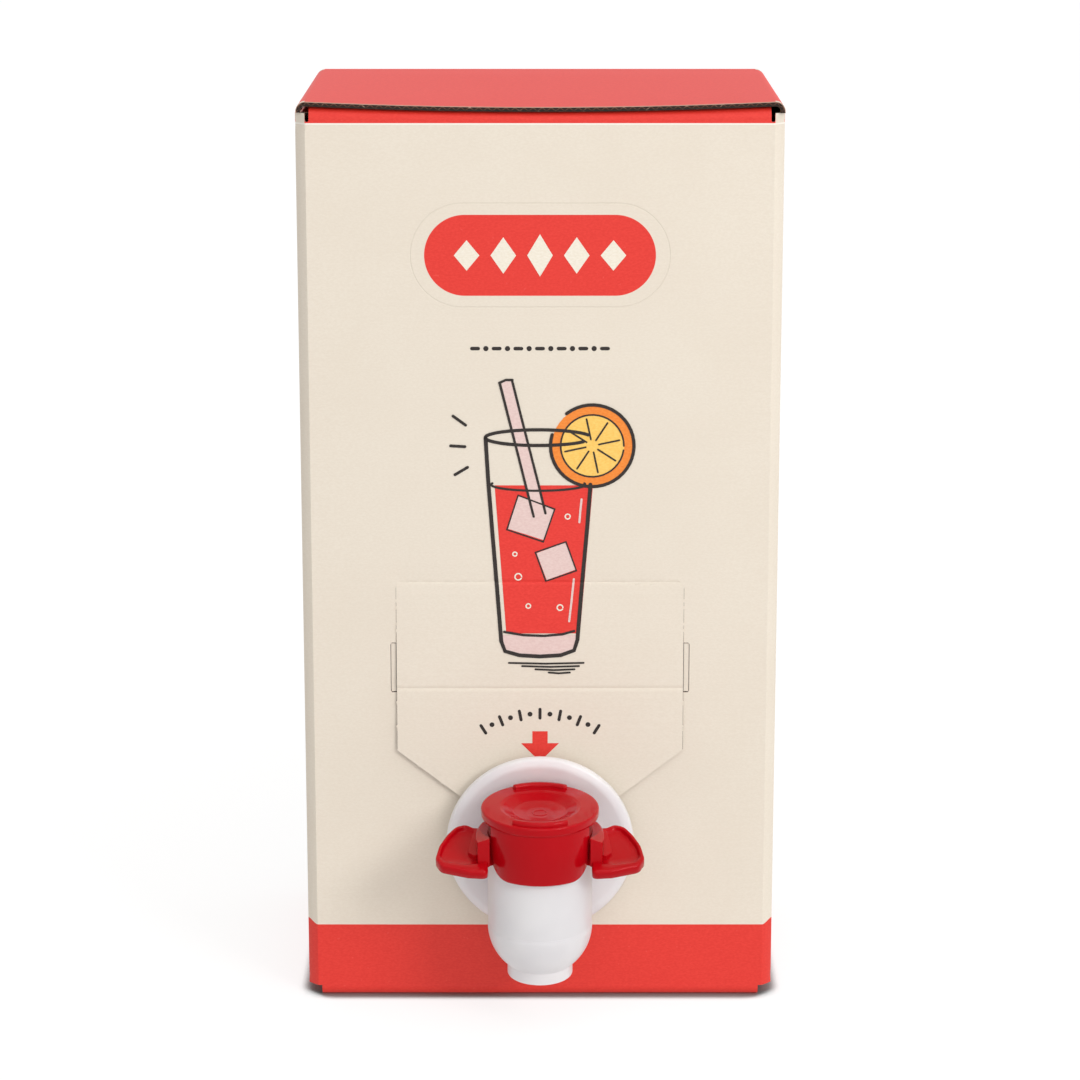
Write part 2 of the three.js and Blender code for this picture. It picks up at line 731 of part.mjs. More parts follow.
function fingerWings() {
  const clip = standingPlate(
    girthBand(clipInner, clipOuter, CLIP_OPEN_ANGLE, 360 - CLIP_OPEN_ANGLE, 30),
    clipBase,
    CHAMBER_TOP,
  );
  const sides = [-1, 1].flatMap((side) => {
    const from = side * CLIP_OPEN_ANGLE;
    const cheek = standingPlate(
      girthBand(clipInner, clipOuter, from, side * CHEEK_END_ANGLE, 8),
      CHEEK_BASE,
      CHAMBER_TOP,
    );
    const [, postY] = girthPoint(clipOuter, from);
    const near = side * (clipOuter - CLIP);
    const far = side * (clipOuter - CLIP + POST_WIDTH);
    const post = block(
      Math.min(near, far),
      Math.max(near, far),
      postY,
      postY + POST_DEPTH,
      POST_BASE,
      CHAMBER_TOP,
    );
    return [cheek, post, wing(side)];
  });
  const collarFace = CHAMBER_REACH - collarFront - PIECE_GAP;
  const nearCollar = block(
    -WING_SPAN - CUT,
    WING_SPAN + CUT,
    collarFace,
    CHAMBER_REACH,
    CHEEK_BASE - CUT,
    CHAMBER_TOP + CUT,
  );
  return cut(join(clip, ...sides), nearCollar);
}

// Scene graph

function material(color, roughness, metalness = 0) {
  return new THREE.MeshStandardMaterial({ color, roughness, metalness });
}

const board = material(0xeee3d2, 0.85);
const film = material(0xc9ccd0, 0.3, 0.6);
const whitePlastic = material(0xf1f0f1, 0.35);
const redPlastic = material(0xc41220, 0.35);
const redRubber = material(0xa80f1b, 0.6);
const sealRubber = material(0xe6e2dc, 0.6);

function piece(name, solid, finish) {
  const mesh = new THREE.Mesh(geometryFrom(solid), finish);
  mesh.name = name;
  return mesh;
}

const drinksBox = new THREE.Group();
drinksBox.add(piece("carton", carton(), board), piece("filled_bag", filledBag(), film));

const tap = new THREE.Group();
tap.position.set(0, frontFace, GLAND_HEIGHT);
tap.rotation.x = TAP_DROOP * RAD;
tap.add(
  piece("spout_gland", spoutGland(), whitePlastic),
  piece("tap_body", tapBody(), whitePlastic),
);

const chamber = new THREE.Group();
chamber.position.y = -CHAMBER_REACH;
chamber.add(
  piece("finger_wings", fingerWings(), redPlastic),
  piece("push_button", pushButton(), redPlastic),
  piece("return_dome", returnDome(), redRubber),
  piece("valve_stem", valveStem(), whitePlastic),
  piece("valve_seal", valveSeal(), sealRubber),
);
tap.add(chamber);
drinksBox.add(tap);

export default drinksBox;
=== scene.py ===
import math

import bmesh
import bpy
import numpy as np
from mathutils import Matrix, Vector
from mathutils.geometry import delaunay_2d_cdt


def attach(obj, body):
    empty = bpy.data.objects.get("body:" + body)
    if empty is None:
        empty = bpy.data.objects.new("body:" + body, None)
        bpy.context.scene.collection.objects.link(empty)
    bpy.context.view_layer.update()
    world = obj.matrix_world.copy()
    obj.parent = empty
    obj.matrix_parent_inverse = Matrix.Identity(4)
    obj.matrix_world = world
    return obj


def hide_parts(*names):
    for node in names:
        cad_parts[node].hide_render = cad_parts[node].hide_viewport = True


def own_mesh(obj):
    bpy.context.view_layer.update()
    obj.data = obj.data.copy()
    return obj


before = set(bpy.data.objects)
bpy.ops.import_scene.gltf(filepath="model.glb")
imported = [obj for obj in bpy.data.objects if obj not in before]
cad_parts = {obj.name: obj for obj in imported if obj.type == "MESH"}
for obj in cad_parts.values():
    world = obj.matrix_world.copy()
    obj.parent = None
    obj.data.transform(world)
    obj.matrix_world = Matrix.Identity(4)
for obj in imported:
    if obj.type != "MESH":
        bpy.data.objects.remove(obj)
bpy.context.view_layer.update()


# Board materials. The outside is a coated cream liner printed red at the top and base, the
# inside is bare brown kraft, and a cut edge shows the flute between its two liners, with
# painted shade in the flute's gaps and towards the inner face.
def linear(red, green, blue):
    """Scene-linear colour of an sRGB colour given from 0 to 255."""
    values = [c / 255 for c in (red, green, blue)]
    light = [c / 12.92 if c < 0.04045 else ((c + 0.055) / 1.055) ** 2.4 for c in values]
    return (*light, 1.0)


class Shader:
    """A Principled material and the small node maths that its masks and bumps need."""

    def __init__(self, name):
        self.material = bpy.data.materials.new(name)
        self.material.use_nodes = True
        self.tree = self.material.node_tree
        self.surface = self.tree.nodes["Principled BSDF"]

    def node(self, kind, **settings):
        made = self.tree.nodes.new(kind)
        for key, value in settings.items():
            setattr(made, key, value)
        return made

    def wire(self, value, socket):
        if isinstance(value, bpy.types.NodeSocket):
            self.tree.links.new(value, socket)
        elif value is not None:
            socket.default_value = value

    def math(self, operation, a, b=None):
        made = self.node("ShaderNodeMath", operation=operation)
        self.wire(a, made.inputs[0])
        self.wire(b, made.inputs[1])
        return made.outputs[0]

    def position(self):
        """The object coordinates, in metres."""
        return self.node("ShaderNodeTexCoord").outputs["Object"]

    def axes(self, vector):
        """The three numbers of a vector."""
        split = self.node("ShaderNodeSeparateXYZ")
        self.wire(vector, split.inputs[0])
        return split.outputs

    def noise(self, scale, detail, stretch=(1.0, 1.0, 1.0)):
        """Noise over the object coordinates, with the given number of features per metre."""
        mapping = self.node("ShaderNodeMapping")
        self.wire(self.position(), mapping.inputs["Vector"])
        mapping.inputs["Scale"].default_value = stretch
        made = self.node("ShaderNodeTexNoise")
        self.wire(mapping.outputs[0], made.inputs["Vector"])
        for key, value in (("Scale", scale), ("Detail", detail), ("Roughness", 0.55)):
            made.inputs[key].default_value = value
        return made.outputs["Fac"]

    def span(self, value, low, high, out_low=0.0, out_high=1.0):
        """The value moved from one range to another, smoothly, and held at its ends."""
        made = self.node("ShaderNodeMapRange", interpolation_type="SMOOTHSTEP")
        for number, socket in zip((value, low, high, out_low, out_high), made.inputs):
            self.wire(number, socket)
        return made.outputs[0]

    def mix(self, amount, a, b):
        """One colour moved towards another by an amount from 0 to 1."""
        made = self.node("ShaderNodeMix", data_type="RGBA")
        for value, socket in ((amount, 0), (a, 6), (b, 7)):
            self.wire(value, made.inputs[socket])
        return made.outputs[2]

    def bump(self, height, distance, strength, after=None):
        made = self.node("ShaderNodeBump")
        made.inputs["Strength"].default_value = strength
        made.inputs["Distance"].default_value = distance
        self.wire(height, made.inputs["Height"])
        self.wire(after, made.inputs["Normal"])
        return made.outputs[0]

    def finish(self, **sockets):
        for key, value in sockets.items():
            self.wire(value, self.surface.inputs[key.replace("_", " ")])
        return self.material


# In metres: half of each panel's flat part, half of the carton, the foot of the top band, the
# middle of the badge, half of the ink's blur, and the pitch of the flutes outside and cut.
flat_x, flat_y, half_width, half_depth = 0.0546, 0.0366, 0.057, 0.039
top_line, badge_height, ink_edge = 0.215, 0.1841, 0.00006
washboard_pitch, flute_pitch = 0.00185, 0.0021

liner = Shader("printed_liner")
x, y, z = liner.axes(liner.position())
off_x = liner.math("ABSOLUTE", x)
fibre = liner.noise(2600, 4.0, (0.5, 0.5, 1.0))
cloud = liner.noise(38, 3.0)
fleck = liner.noise(900, 2.0)
paper = liner.mix(liner.span(fibre, 0.3, 0.72), linear(230, 219, 203), linear(234, 224, 209))
paper = liner.mix(liner.span(cloud, 0.35, 0.68, 0.0, 0.22), paper, linear(225, 212, 195))
red = liner.mix(liner.span(fibre, 0.3, 0.72), linear(223, 46, 36), linear(230, 56, 44))
red = liner.mix(liner.span(fleck, 0.68, 0.76, 0.0, 0.3), red, linear(240, 96, 84))
at_side = liner.span(off_x, flat_x, half_width)
base_line = liner.math("ADD", 0.0185, liner.math("MULTIPLY", at_side, 0.0011))
base_band = liner.span(liner.math("SUBTRACT", base_line, z), -ink_edge, ink_edge)
front_or_back = liner.span(off_x, 0.05455, 0.05475, 1.0, 0.0)
either_side = liner.span(liner.math("ABSOLUTE", y), 0.03655, 0.03675, 1.0, 0.0)
on_a_panel = liner.math("MAXIMUM", front_or_back, either_side)
above = liner.span(z, top_line - ink_edge, top_line + ink_edge)
below = liner.span(z, top_line - ink_edge, top_line + ink_edge, 1.0, 0.0)
top_band = liner.math("MULTIPLY", above, on_a_panel)
# Painted highlight: a thin near-white line just under the red top band.
painted_highlight_line = liner.math("MULTIPLY", liner.span(z, 0.2146, 0.2147), below)
in_front = liner.span(y, -0.0375, -0.037, 1.0, 0.0)


def capsule_distance(half_length, radius):
    """How far a point of the front lies outside a level capsule with this axis and radius."""
    beyond = liner.math("MAXIMUM", liner.math("SUBTRACT", off_x, half_length), 0.0)
    up = liner.math("SUBTRACT", z, badge_height)
    squares = [liner.math("MULTIPLY", leg, leg) for leg in (beyond, up)]
    return liner.math("SUBTRACT", liner.math("SQRT", liner.math("ADD", *squares)), radius)


in_badge = liner.span(capsule_distance(0.0176, 0.00955), -ink_edge, ink_edge, 1.0, 0.0)
badge = liner.math("MULTIPLY", in_badge, in_front)
rim_distance = liner.math("ABSOLUTE", capsule_distance(0.0182, 0.01225))
scored = liner.math("MULTIPLY", liner.span(rim_distance, 0.00006, 0.00022, 1.0, 0.0), in_front)
printed = liner.math("MAXIMUM", liner.math("MAXIMUM", base_band, top_band), badge)
colour = liner.mix(printed, paper, red)
# The painted highlight under the top band is mixed in here.
colour = liner.mix(liner.math("MULTIPLY", painted_highlight_line, 0.7), colour, linear(250, 246, 238))
# Painted shade: the colour darkens a little along the scored rim round the badge, for the shade in
# its groove.
colour = liner.mix(liner.math("MULTIPLY", scored, 0.08), colour, linear(170, 152, 130))
washboard = liner.math("SINE", liner.math("MULTIPLY", z, 2 * math.pi / washboard_pitch))
relief = liner.bump(washboard, 0.000012, 0.35)
relief = liner.bump(fibre, 0.00004, 0.4, relief)
relief = liner.bump(liner.math("MULTIPLY", scored, -1.0), 0.00012, 0.5, relief)
liner_material = liner.finish(
    Base_Color=colour,
    Roughness=liner.mix(printed, (0.72, 0.72, 0.72, 1), (0.54, 0.54, 0.54, 1)),
    Specular_IOR_Level=0.42,
    Normal=relief,
)

kraft = Shader("brown_kraft")
grain = kraft.noise(1500, 4.0, (1.0, 1.0, 0.3))
kraft_material = kraft.finish(
    Base_Color=kraft.mix(kraft.span(grain, 0.3, 0.7), linear(128, 92, 62), linear(164, 124, 88)),
    Roughness=0.9,
    Normal=kraft.bump(grain, 0.0001, 0.6),
)

# A cut edge. Its u runs along the edge in metres, and its v from the outer face to the inner.
# The edge's colour holds painted shade: dark gaps in the flute and a dark inner half.
edge = Shader("cut_edge")
u, v, _ = edge.axes(edge.node("ShaderNodeUVMap").outputs[0])
wave = edge.math("SINE", edge.math("MULTIPLY", u, 2 * math.pi / flute_pitch))
ripple = edge.math("MULTIPLY", wave, 0.27)
off_flute = edge.math("ABSOLUTE", edge.math("SUBTRACT", edge.math("SUBTRACT", v, 0.5), ripple))
flute = edge.span(off_flute, 0.1, 0.16, 1.0, 0.0)
outer_liner = edge.span(v, 0.14, 0.19, 1.0, 0.0)
inner_liner = edge.span(v, 0.84, 0.89)
torn = edge.noise(700, 3.0)
solid = edge.math("MAXIMUM", edge.math("MAXIMUM", flute, outer_liner), inner_liner)
# Painted shade: the gaps between the flute and the liners are coloured almost black.
edge_colour_and_shade = edge.mix(solid, linear(40, 24, 18), linear(96, 64, 48))
torn_fibre = edge.math("MULTIPLY", edge.span(torn, 0.58, 0.7, 0.0, 0.8), solid)
edge_colour_and_shade = edge.mix(torn_fibre, edge_colour_and_shade, linear(186, 158, 136))
edge_colour_and_shade = edge.mix(edge.span(v, 0.1, 0.2, 0.8, 0.0), edge_colour_and_shade, linear(214, 178, 158))
# Painted shadow: the half of the edge towards the inner face darkens almost to black.
edge_colour_and_shade = edge.mix(edge.span(v, 0.5, 0.75, 0.0, 0.7), edge_colour_and_shade, linear(20, 13, 11))
edge_material = edge.finish(Base_Color=edge_colour_and_shade, Roughness=0.95, Normal=edge.bump(solid, 0.0003, 0.8))


# The carton's walls are one sheet that turns round the four corners. It is drawn flat, as u
# round the carton from the middle of the front and v up from the base, and then folded.
def inside(loop, points):
    """True for each point that the closed loop goes round."""
    a, b = loop, np.roll(loop, -1, axis=0)
    px, py = points[:, 0, None], points[:, 1, None]
    crosses = (a[:, 1] > py) != (b[:, 1] > py)
    rise = np.where(b[:, 1] == a[:, 1], 1e-12, b[:, 1] - a[:, 1])
    at = a[:, 0] + (py - a[:, 1]) * (b[:, 0] - a[:, 0]) / rise
    return ((crosses & (px < at)).sum(1) % 2).astype(bool)


def nearness(loop, points):
    """Each point's distance to the nearest stretch of the closed loop."""
    a = loop[None]
    step = (np.roll(loop, -1, axis=0) - loop)[None]
    reach = points[:, None] - a
    length = np.maximum((step**2).sum(-1), 1e-18)
    t = np.clip((reach * step).sum(-1) / length, 0, 1)
    return np.sqrt(((reach - step * t[..., None]) ** 2).sum(-1)).min(1)


def divided(loop, spacing, columns, rows):
    """The loop with points on the given columns and rows, and at most spacing apart."""
    out = []
    for a, b in zip(loop, np.roll(loop, -1, axis=0)):
        at = set(np.linspace(0, 1, max(1, math.ceil(np.linalg.norm(b - a) / spacing)) + 1)[:-1])
        for axis, lines in ((0, columns), (1, rows)):
            run = b[axis] - a[axis]
            if abs(run) > 1e-7:
                at |= {t for t in (np.asarray(lines) - a[axis]) / run if 0.001 < t < 0.999}
        out += [a + (b - a) * t for t in sorted(at)]
    return np.array(out)


def filled(outer, holes=(), spacing=0.004, columns=(), rows=()):
    """Points and triangles that fill the outer loop and leave the holes open."""
    clear = 0.0002
    loops = [divided(np.asarray(loop, float), spacing, columns, rows) for loop in (outer, *holes)]
    low, high = loops[0].min(0), loops[0].max(0)
    across = np.unique(np.concatenate([np.arange(low[0], high[0], spacing), columns]))
    up = np.unique(np.concatenate([np.arange(low[1], high[1], spacing), rows]))
    grid = np.stack(np.meshgrid(across, up), -1).reshape(-1, 2)
    keep = inside(loops[0], grid) & (nearness(loops[0], grid) > clear)
    for hole in loops[1:]:
        keep &= ~inside(hole, grid) & (nearness(hole, grid) > clear)
    points = np.concatenate([*loops, grid[keep]])
    edges = []
    start = 0
    for loop in loops:
        n = len(loop)
        edges += [(start + i, start + (i + 1) % n) for i in range(n)]
        start += n
    scaled = [Vector(p * 1000) for p in points]
    made = delaunay_2d_cdt(scaled, edges, [], 0, 1e-6)
    points = np.array([tuple(p) for p in made[0]]) / 1000
    triangles = np.array([tuple(f) for f in made[2] if len(f) == 3])
    middle = points[triangles].mean(1)
    keep = inside(loops[0], middle)
    for hole in loops[1:]:
        keep &= ~inside(hole, middle)
    triangles = triangles[keep]
    a, b, c = (points[triangles[:, i]] for i in range(3))
    area = (b[:, 0] - a[:, 0]) * (c[:, 1] - a[:, 1]) - (b[:, 1] - a[:, 1]) * (c[:, 0] - a[:, 0])
    triangles[area < 0] = triangles[area < 0][:, ::-1]
    used, order = np.unique(triangles, return_inverse=True)
    return points[used], order.reshape(triangles.shape)


def board_from_sheet(points, triangles, place, thickness=0.0011):
    """A sheet of board: its outer face, its inner face and its cut edges, with their materials."""
    n = len(points)
    corners = np.concatenate([place(points, 0.0), place(points, thickness)])
    sides = np.concatenate([triangles[:, [0, 1]], triangles[:, [1, 2]], triangles[:, [2, 0]]])
    known = {tuple(s) for s in sides.tolist()}
    border = [(a, b) for a, b in known if (b, a) not in known]
    faces = triangles.tolist() + (triangles[:, ::-1] + n).tolist()
    faces += [(b, a, a + n, b + n) for a, b in border]
    kinds = [0] * len(triangles) + [1] * len(triangles) + [2] * len(border)
    run = points.sum(1)
    uvs = [(0.0, 0.0)] * (6 * len(triangles))
    for a, b in border:
        uvs += [(run[b], 0.0), (run[a], 0.0), (run[a], 1.0), (run[b], 1.0)]
    return corners, faces, kinds, uvs


def board_from_strip(path, outward, low, high, steps, place, thickness=0.0011):
    """A flap: a path seen from its end, with its outward directions, swept from low to high."""
    path, outward = np.asarray(path, float), np.asarray(outward, float)
    k, m = len(path), steps + 1
    length = np.concatenate([[0], np.cumsum(np.linalg.norm(np.diff(path, axis=0), axis=1))])
    swept = np.linspace(low, high, m)
    both = [np.repeat(side, m, axis=0) for side in (path, path - outward * thickness)]
    corners = np.concatenate([place(side, np.tile(swept, k)) for side in both])
    faces, kinds, uvs = [], [], []

    def cut(a, b, start, end, turn):
        """A face of a cut edge between two corners, with how far along the edge they are."""
        faces.append((a, b, b + k * m, a + k * m)[::turn])
        kinds.append(2)
        uvs.extend([(start, 0.0), (end, 0.0), (end, 1.0), (start, 1.0)][::turn])

    for i in range(k - 1):
        for j in range(m - 1):
            a = i * m + j
            faces.append((a, a + 1, a + m + 1, a + m))
            faces.append((a + k * m, a + (k + 1) * m, a + (k + 1) * m + 1, a + k * m + 1))
            kinds += [0, 1]
            uvs += [(0.0, 0.0)] * 8
        for j, turn in ((0, 1), (m - 1, -1)):
            cut(i * m + j, i * m + j + m, length[i], length[i + 1], turn)
    for i, turn in ((0, -1), (k - 1, 1)):
        for j in range(m - 1):
            cut(i * m + j, i * m + j + 1, swept[j], swept[j + 1], turn)
    return corners, faces, kinds, uvs


def joined(name, parts, materials):
    """One mesh from several parts, each of which opens with its corners and its faces."""
    corners, faces, start = [], [], 0
    for part in parts:
        corners.append(part[0])
        faces += [tuple(int(i) + start for i in face) for face in part[1]]
        start += len(part[0])
    mesh = bpy.data.meshes.new(name)
    mesh.from_pydata(np.concatenate(corners).tolist(), [], faces)
    for material in materials:
        mesh.materials.append(material)
    return mesh


def added(name, data):
    """A new object of the scene with this mesh, lamp or camera."""
    made = bpy.data.objects.new(name, data)
    bpy.context.scene.collection.objects.link(made)
    return made


def make_board(name, parts):
    """One object from several pieces of board."""
    mesh = joined(name, parts, [liner_material, kraft_material, edge_material])
    mesh.polygons.foreach_set("material_index", [kind for part in parts for kind in part[2]])
    uvs = np.array([mark for part in parts for mark in part[3]], dtype=np.float32)
    mesh.uv_layers.new(name="run").data.foreach_set("uv", uvs.ravel())
    piece = added(name, mesh)
    mesh.update()
    mesh.shade_smooth()
    mesh.set_sharp_from_angle(angle=math.radians(24))
    return piece


def oval(cx, cz, rx, rz, start=0, end=360, steps=40):
    angles = np.radians(np.linspace(start, end, steps + 1))
    return [(cx + rx * math.cos(t), cz + rz * math.sin(t)) for t in angles]


def arc(cx, cz, radius, start, end, steps):
    return oval(cx, cz, radius, radius, start, end, steps)


def swell(a, half, height):
    """How far a wall stands out at a distance a from its middle, with none at its folds."""
    rise = np.clip(1 - ((height - 0.11) / 0.107) ** 2, 0, 1)
    ripple = 0.25 * np.sin(a * 95 + height * 31) * np.sin(height * 57 + 1.3)
    return (0.0003 + 0.00012 * ripple) * np.clip(1 - (a / half) ** 2, 0, 1) * rise


def settle(points, depth):
    """Lets the lid or an inner flap sag by depth in the middle of the front, not behind."""
    lift = np.clip((points[:, 2] - 0.2145) / 0.004, 0, 1)
    lift = lift * lift * (3 - 2 * lift)
    forward = np.clip((0.025 - points[:, 1]) / 0.064, 0, 1)
    points[:, 2] -= depth * lift * forward * np.clip(1 - (points[:, 0] / 0.0555) ** 2, 0, 1)
    return points


def crease_dip(height, level, width=0.00035, depth=0.00022):
    return depth * np.exp(-(((height - level) / width) ** 2))


# A corner's radius and its length round the carton, the hatch's top crease and half its length,
# and where the side and the back start and end round the carton.
fold, fold_length, top_crease, crease_half = 0.0024, 0.00377, 0.10525, 0.034
side_start, side_middle, side_end = 0.05837, 0.09497, 0.13157
back_start, back_middle, back_end = 0.13534, 0.18994, 0.24454


def flattened(turn):
    """The sine and cosine of a quarter turn, drawn in to four fifths of the way to its chord."""
    along = turn / (math.pi / 2)
    return 0.2 * np.sin(turn) + 0.8 * along, 0.2 * np.cos(turn) + 0.8 * (1 - along)


def walls(points, depth):
    """The blank's u and v, and a depth into the board, as a point on the folded walls."""
    u, v = points[:, 0], points[:, 1]
    side = np.sign(u)
    a = np.abs(u)
    x, y = a.copy(), np.full_like(a, -half_depth)
    nx, ny = np.zeros_like(a), np.full_like(a, -1.0)
    turn = np.clip((a - flat_x) / fold, 0, math.pi / 2)
    sine, cosine = flattened(turn)
    on = a > flat_x
    x[on], y[on] = flat_x + fold * sine[on], -flat_y - fold * cosine[on]
    nx[on], ny[on] = np.sin(turn[on]), -np.cos(turn[on])
    on = a > side_start
    x[on], y[on] = half_width, -flat_y + (a[on] - side_start)
    nx[on], ny[on] = 1.0, 0.0
    turn = np.clip((a - side_end) / fold, 0, math.pi / 2)
    sine, cosine = flattened(turn)
    on = a > side_end
    x[on], y[on] = flat_x + fold * cosine[on], flat_y + fold * sine[on]
    nx[on], ny[on] = np.cos(turn[on]), np.sin(turn[on])
    on = a > back_start
    x[on], y[on] = flat_x - (a[on] - back_start), half_depth
    nx[on], ny[on] = 0.0, 1.0
    out = np.zeros_like(a)
    on = a < flat_x
    out[on] = swell(u[on], flat_x, v[on])
    on = (a > side_start) & (a < side_end)
    out[on] = swell(a[on] - side_middle, flat_y, v[on])
    on = a > back_start
    out[on] = swell(a[on] - back_middle, flat_x, v[on])
    on = a < crease_half
    out[on] -= crease_dip(v[on], top_crease)
    out = out - depth
    return np.stack([(x + nx * out) * side, y + ny * out, v], 1)


fold_columns = [end + fold_length * i / 8 for end in (flat_x, side_end) for i in range(9)]
fold_columns += [-column for column in fold_columns]
crease_rows = [0.1052 + d for d in (-0.0009, -0.0005, -0.00025, 0.00025, 0.0005, 0.0009)]

# Each wall reaches up and down to where its flap starts to fold, and each corner is a post
# that ends between two flaps.
tops = {"front": 0.2157, "right": 0.2170, "back": 0.2157, "left": 0.2143}
feet = {"front": 0.0029, "right": 0.0043, "back": 0.0057, "left": 0.0043}
post_top, post_foot, slot = 0.2173, 0.0027, 0.0009
slot_base = post_top - 0.0016
spans = [
    ("left", -side_end, -side_start),
    ("front", -flat_x, flat_x),
    ("right", side_start, side_end),
    ("back", back_start, back_end),
]
blank = [(-back_start, post_foot)]
for name, start, end in spans:
    blank += [(start, post_foot), (start + slot, post_foot), (start + slot, feet[name])]
    blank += [(end - slot, feet[name]), (end - slot, post_foot), (end, post_foot)]
for name, start, end in reversed(spans):
    blank += [(end, post_top), *arc(end - slot / 2, slot_base, slot / 2, 0, -180, 6)]
    blank += [(end - slot, tops[name]), (start + slot, tops[name])]
    blank += [*arc(start + slot / 2, slot_base, slot / 2, 0, -180, 6), (start, post_top)]
blank.append((-back_start, post_top))

# The opening under the hatch: its sides, the two finger slots, its slanted lower sides and the
# hole for the gland, which they run into. Small nicks stand where the board was perforated.
hole_centre, hole_radius = 0.041, 0.0146
neck = hole_radius * math.cos(math.radians(25))
neck_base = hole_centre + hole_radius * math.sin(math.radians(25))
shoulder, crown, half_hatch, slit = 0.0634, 0.1052, 0.0345, 0.00007


def nicked(a, b, places, size):
    """The straight cut from a to b with small torn teeth that stand to its left by size."""
    a, b = np.array(a), np.array(b)
    along = (b - a) / np.linalg.norm(b - a)
    left = np.array([-along[1], along[0]])
    out = [tuple(a)]
    for place in places:
        middle = a + (b - a) * place
        for shift, rise in ((-0.00042, 0), (-0.0002, 0.9), (0.00012, 1), (0.00034, 0)):
            out.append(tuple(middle + along * shift + left * size * rise))
    return out


wide, tooth, corner = half_hatch + slit, 0.00026, 0.0016
right_side = nicked((neck + slit, neck_base), (wide, shoulder), (0.3, 0.62, 0.86), tooth)
right_side += nicked((wide, shoulder), (wide, 0.0778), (0.35, 0.8), tooth)
right_side += [(wide, 0.0778), (wide + 0.0011, 0.0778), (wide + 0.0014, 0.0782)]
right_side += [(wide + 0.0014, 0.0898), (wide + 0.0011, 0.0902)]
right_side += nicked((wide, 0.0902), (wide, crown - corner), (0.35, 0.78), tooth)
right_side += arc(wide - corner, crown - corner, corner, 0, 90, 5)
opening = arc(0, hole_centre, hole_radius, 155, 385, 46) + right_side
opening += [(-a, b) for a, b in right_side][::-1]
walls_sheet = board_from_sheet(*filled(blank, [opening], 0.0042, fold_columns, crease_rows), walls)


# The flaps. Each runs on from its wall over a crease, seen here from its end: a is the
# distance in from the wall's outer face, and z the height.
def flap_path(wall_end, level, reach, up, roll=0.0):
    """A wall's end, a rounded crease and the flat flap, and for the lid a second crease."""
    path, outward = [(0.0, wall_end), (0.0, level - up * fold - up * 0.0003)], [(-1.0, 0.0)] * 2
    for i in range(11):
        t = math.pi / 2 * i / 10
        path.append((fold - fold * math.cos(t), level - up * fold + up * fold * math.sin(t)))
        outward.append((-math.cos(t), up * math.sin(t)))
    flats = np.linspace(fold, reach - roll, 15)[1:]
    path += [(a, level) for a in flats]
    outward += [(0.0, float(up))] * len(flats)
    for i in range(1, 11 if roll else 0):
        t = math.radians(96) * i / 10
        path.append((reach - roll + roll * math.sin(t), level + up * roll * (math.cos(t) - 1)))
        outward.append((math.sin(t), up * math.cos(t)))
    return path, outward


def facing(wall, sag=0.0):
    """Places a flap's points for one wall, given how far they are along the wall."""

    def place(path, swept):
        a, height = path[:, 0], path[:, 1]
        x, y = {
            "front": (swept, a - half_depth),
            "back": (-swept, half_depth - a),
            "right": (half_width - a, swept),
            "left": (a - half_width, -swept),
        }[wall]
        return settle(np.stack([x, y, height], 1), sag)

    return place


def turned_over(part):
    """The same flap with its faces turned the other way, for a flap that folds under."""
    corners, faces, kinds, uvs = part
    flipped, marks, at = [], [], 0
    for face in faces:
        flipped.append(tuple(face)[::-1])
        marks += uvs[at : at + len(face)][::-1]
        at += len(face)
    return corners, flipped, kinds, marks


across, along = flat_x - slot, flat_y - slot
flaps = []
for wall, level, half, steps in (
    ("front", 0.2186, across, 24),
    ("back", 0.2186, across, 24),
    ("left", 0.2172, along, 10),
):
    path = flap_path(tops[wall], level, 0.03, 1)
    flaps.append(board_from_strip(*path, -half, half, steps, facing(wall, 0.0011)))
for wall, level, reach, half, steps in (
    ("front", 0.0, 0.0777, across, 12),
    ("back", 0.0028, 0.03, across, 12),
    ("left", 0.0014, 0.03, along, 8),
    ("right", 0.0014, 0.03, along, 8),
):
    path = flap_path(feet[wall], level, reach, -1)
    flaps.append(turned_over(board_from_strip(*path, -half, half, steps, facing(wall))))
lid_path, lid_outward = flap_path(0.2174, 0.22, 0.1138, 1, 0.0024)
lid = board_from_strip(lid_path, lid_outward, -0.0387, 0.0387, 12, facing("right", 0.0013))
lid_stem = board_from_strip(
    [(0.0, 0.2168), (0.0, 0.2175)], [(-1.0, 0.0)] * 2, -along, along, 4, facing("right")
)
carton = make_board("carton_board", [walls_sheet, *flaps, lid, lid_stem])
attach(carton, "carton")
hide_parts("carton")


# The hatch is torn free along its sides and stands out a little towards its lower edge, more
# on the left. It stays one with the panel at its top crease, and has a second crease below.
second_crease = 0.0789


def hatch_lift(x, height):
    """How far the hatch stands out of the panel's plane."""
    down = np.clip((crown - height) / (crown - neck_base), 0, 1)
    return (0.00105 - 0.0003 * x / half_hatch) * down**1.15


def front_face(x, height, on_hatch=None):
    """The y of the printed front at a point, on the hatch or on the panel round it."""
    here = (np.abs(x) < half_hatch) & (height < crown) if on_hatch is None else on_hatch
    dip = np.where(np.abs(x) < crease_half, crease_dip(height, top_crease), 0)
    lift = hatch_lift(x, height) - crease_dip(height, second_crease, 0.0004, 0.0002)
    return -half_depth - (swell(x, flat_x, height) - dip + np.where(here, lift, 0))


def hatch_sheet(points, depth):
    x, height = points[:, 0], points[:, 1]
    return np.stack([x, front_face(x, height, True) + depth, height], 1)


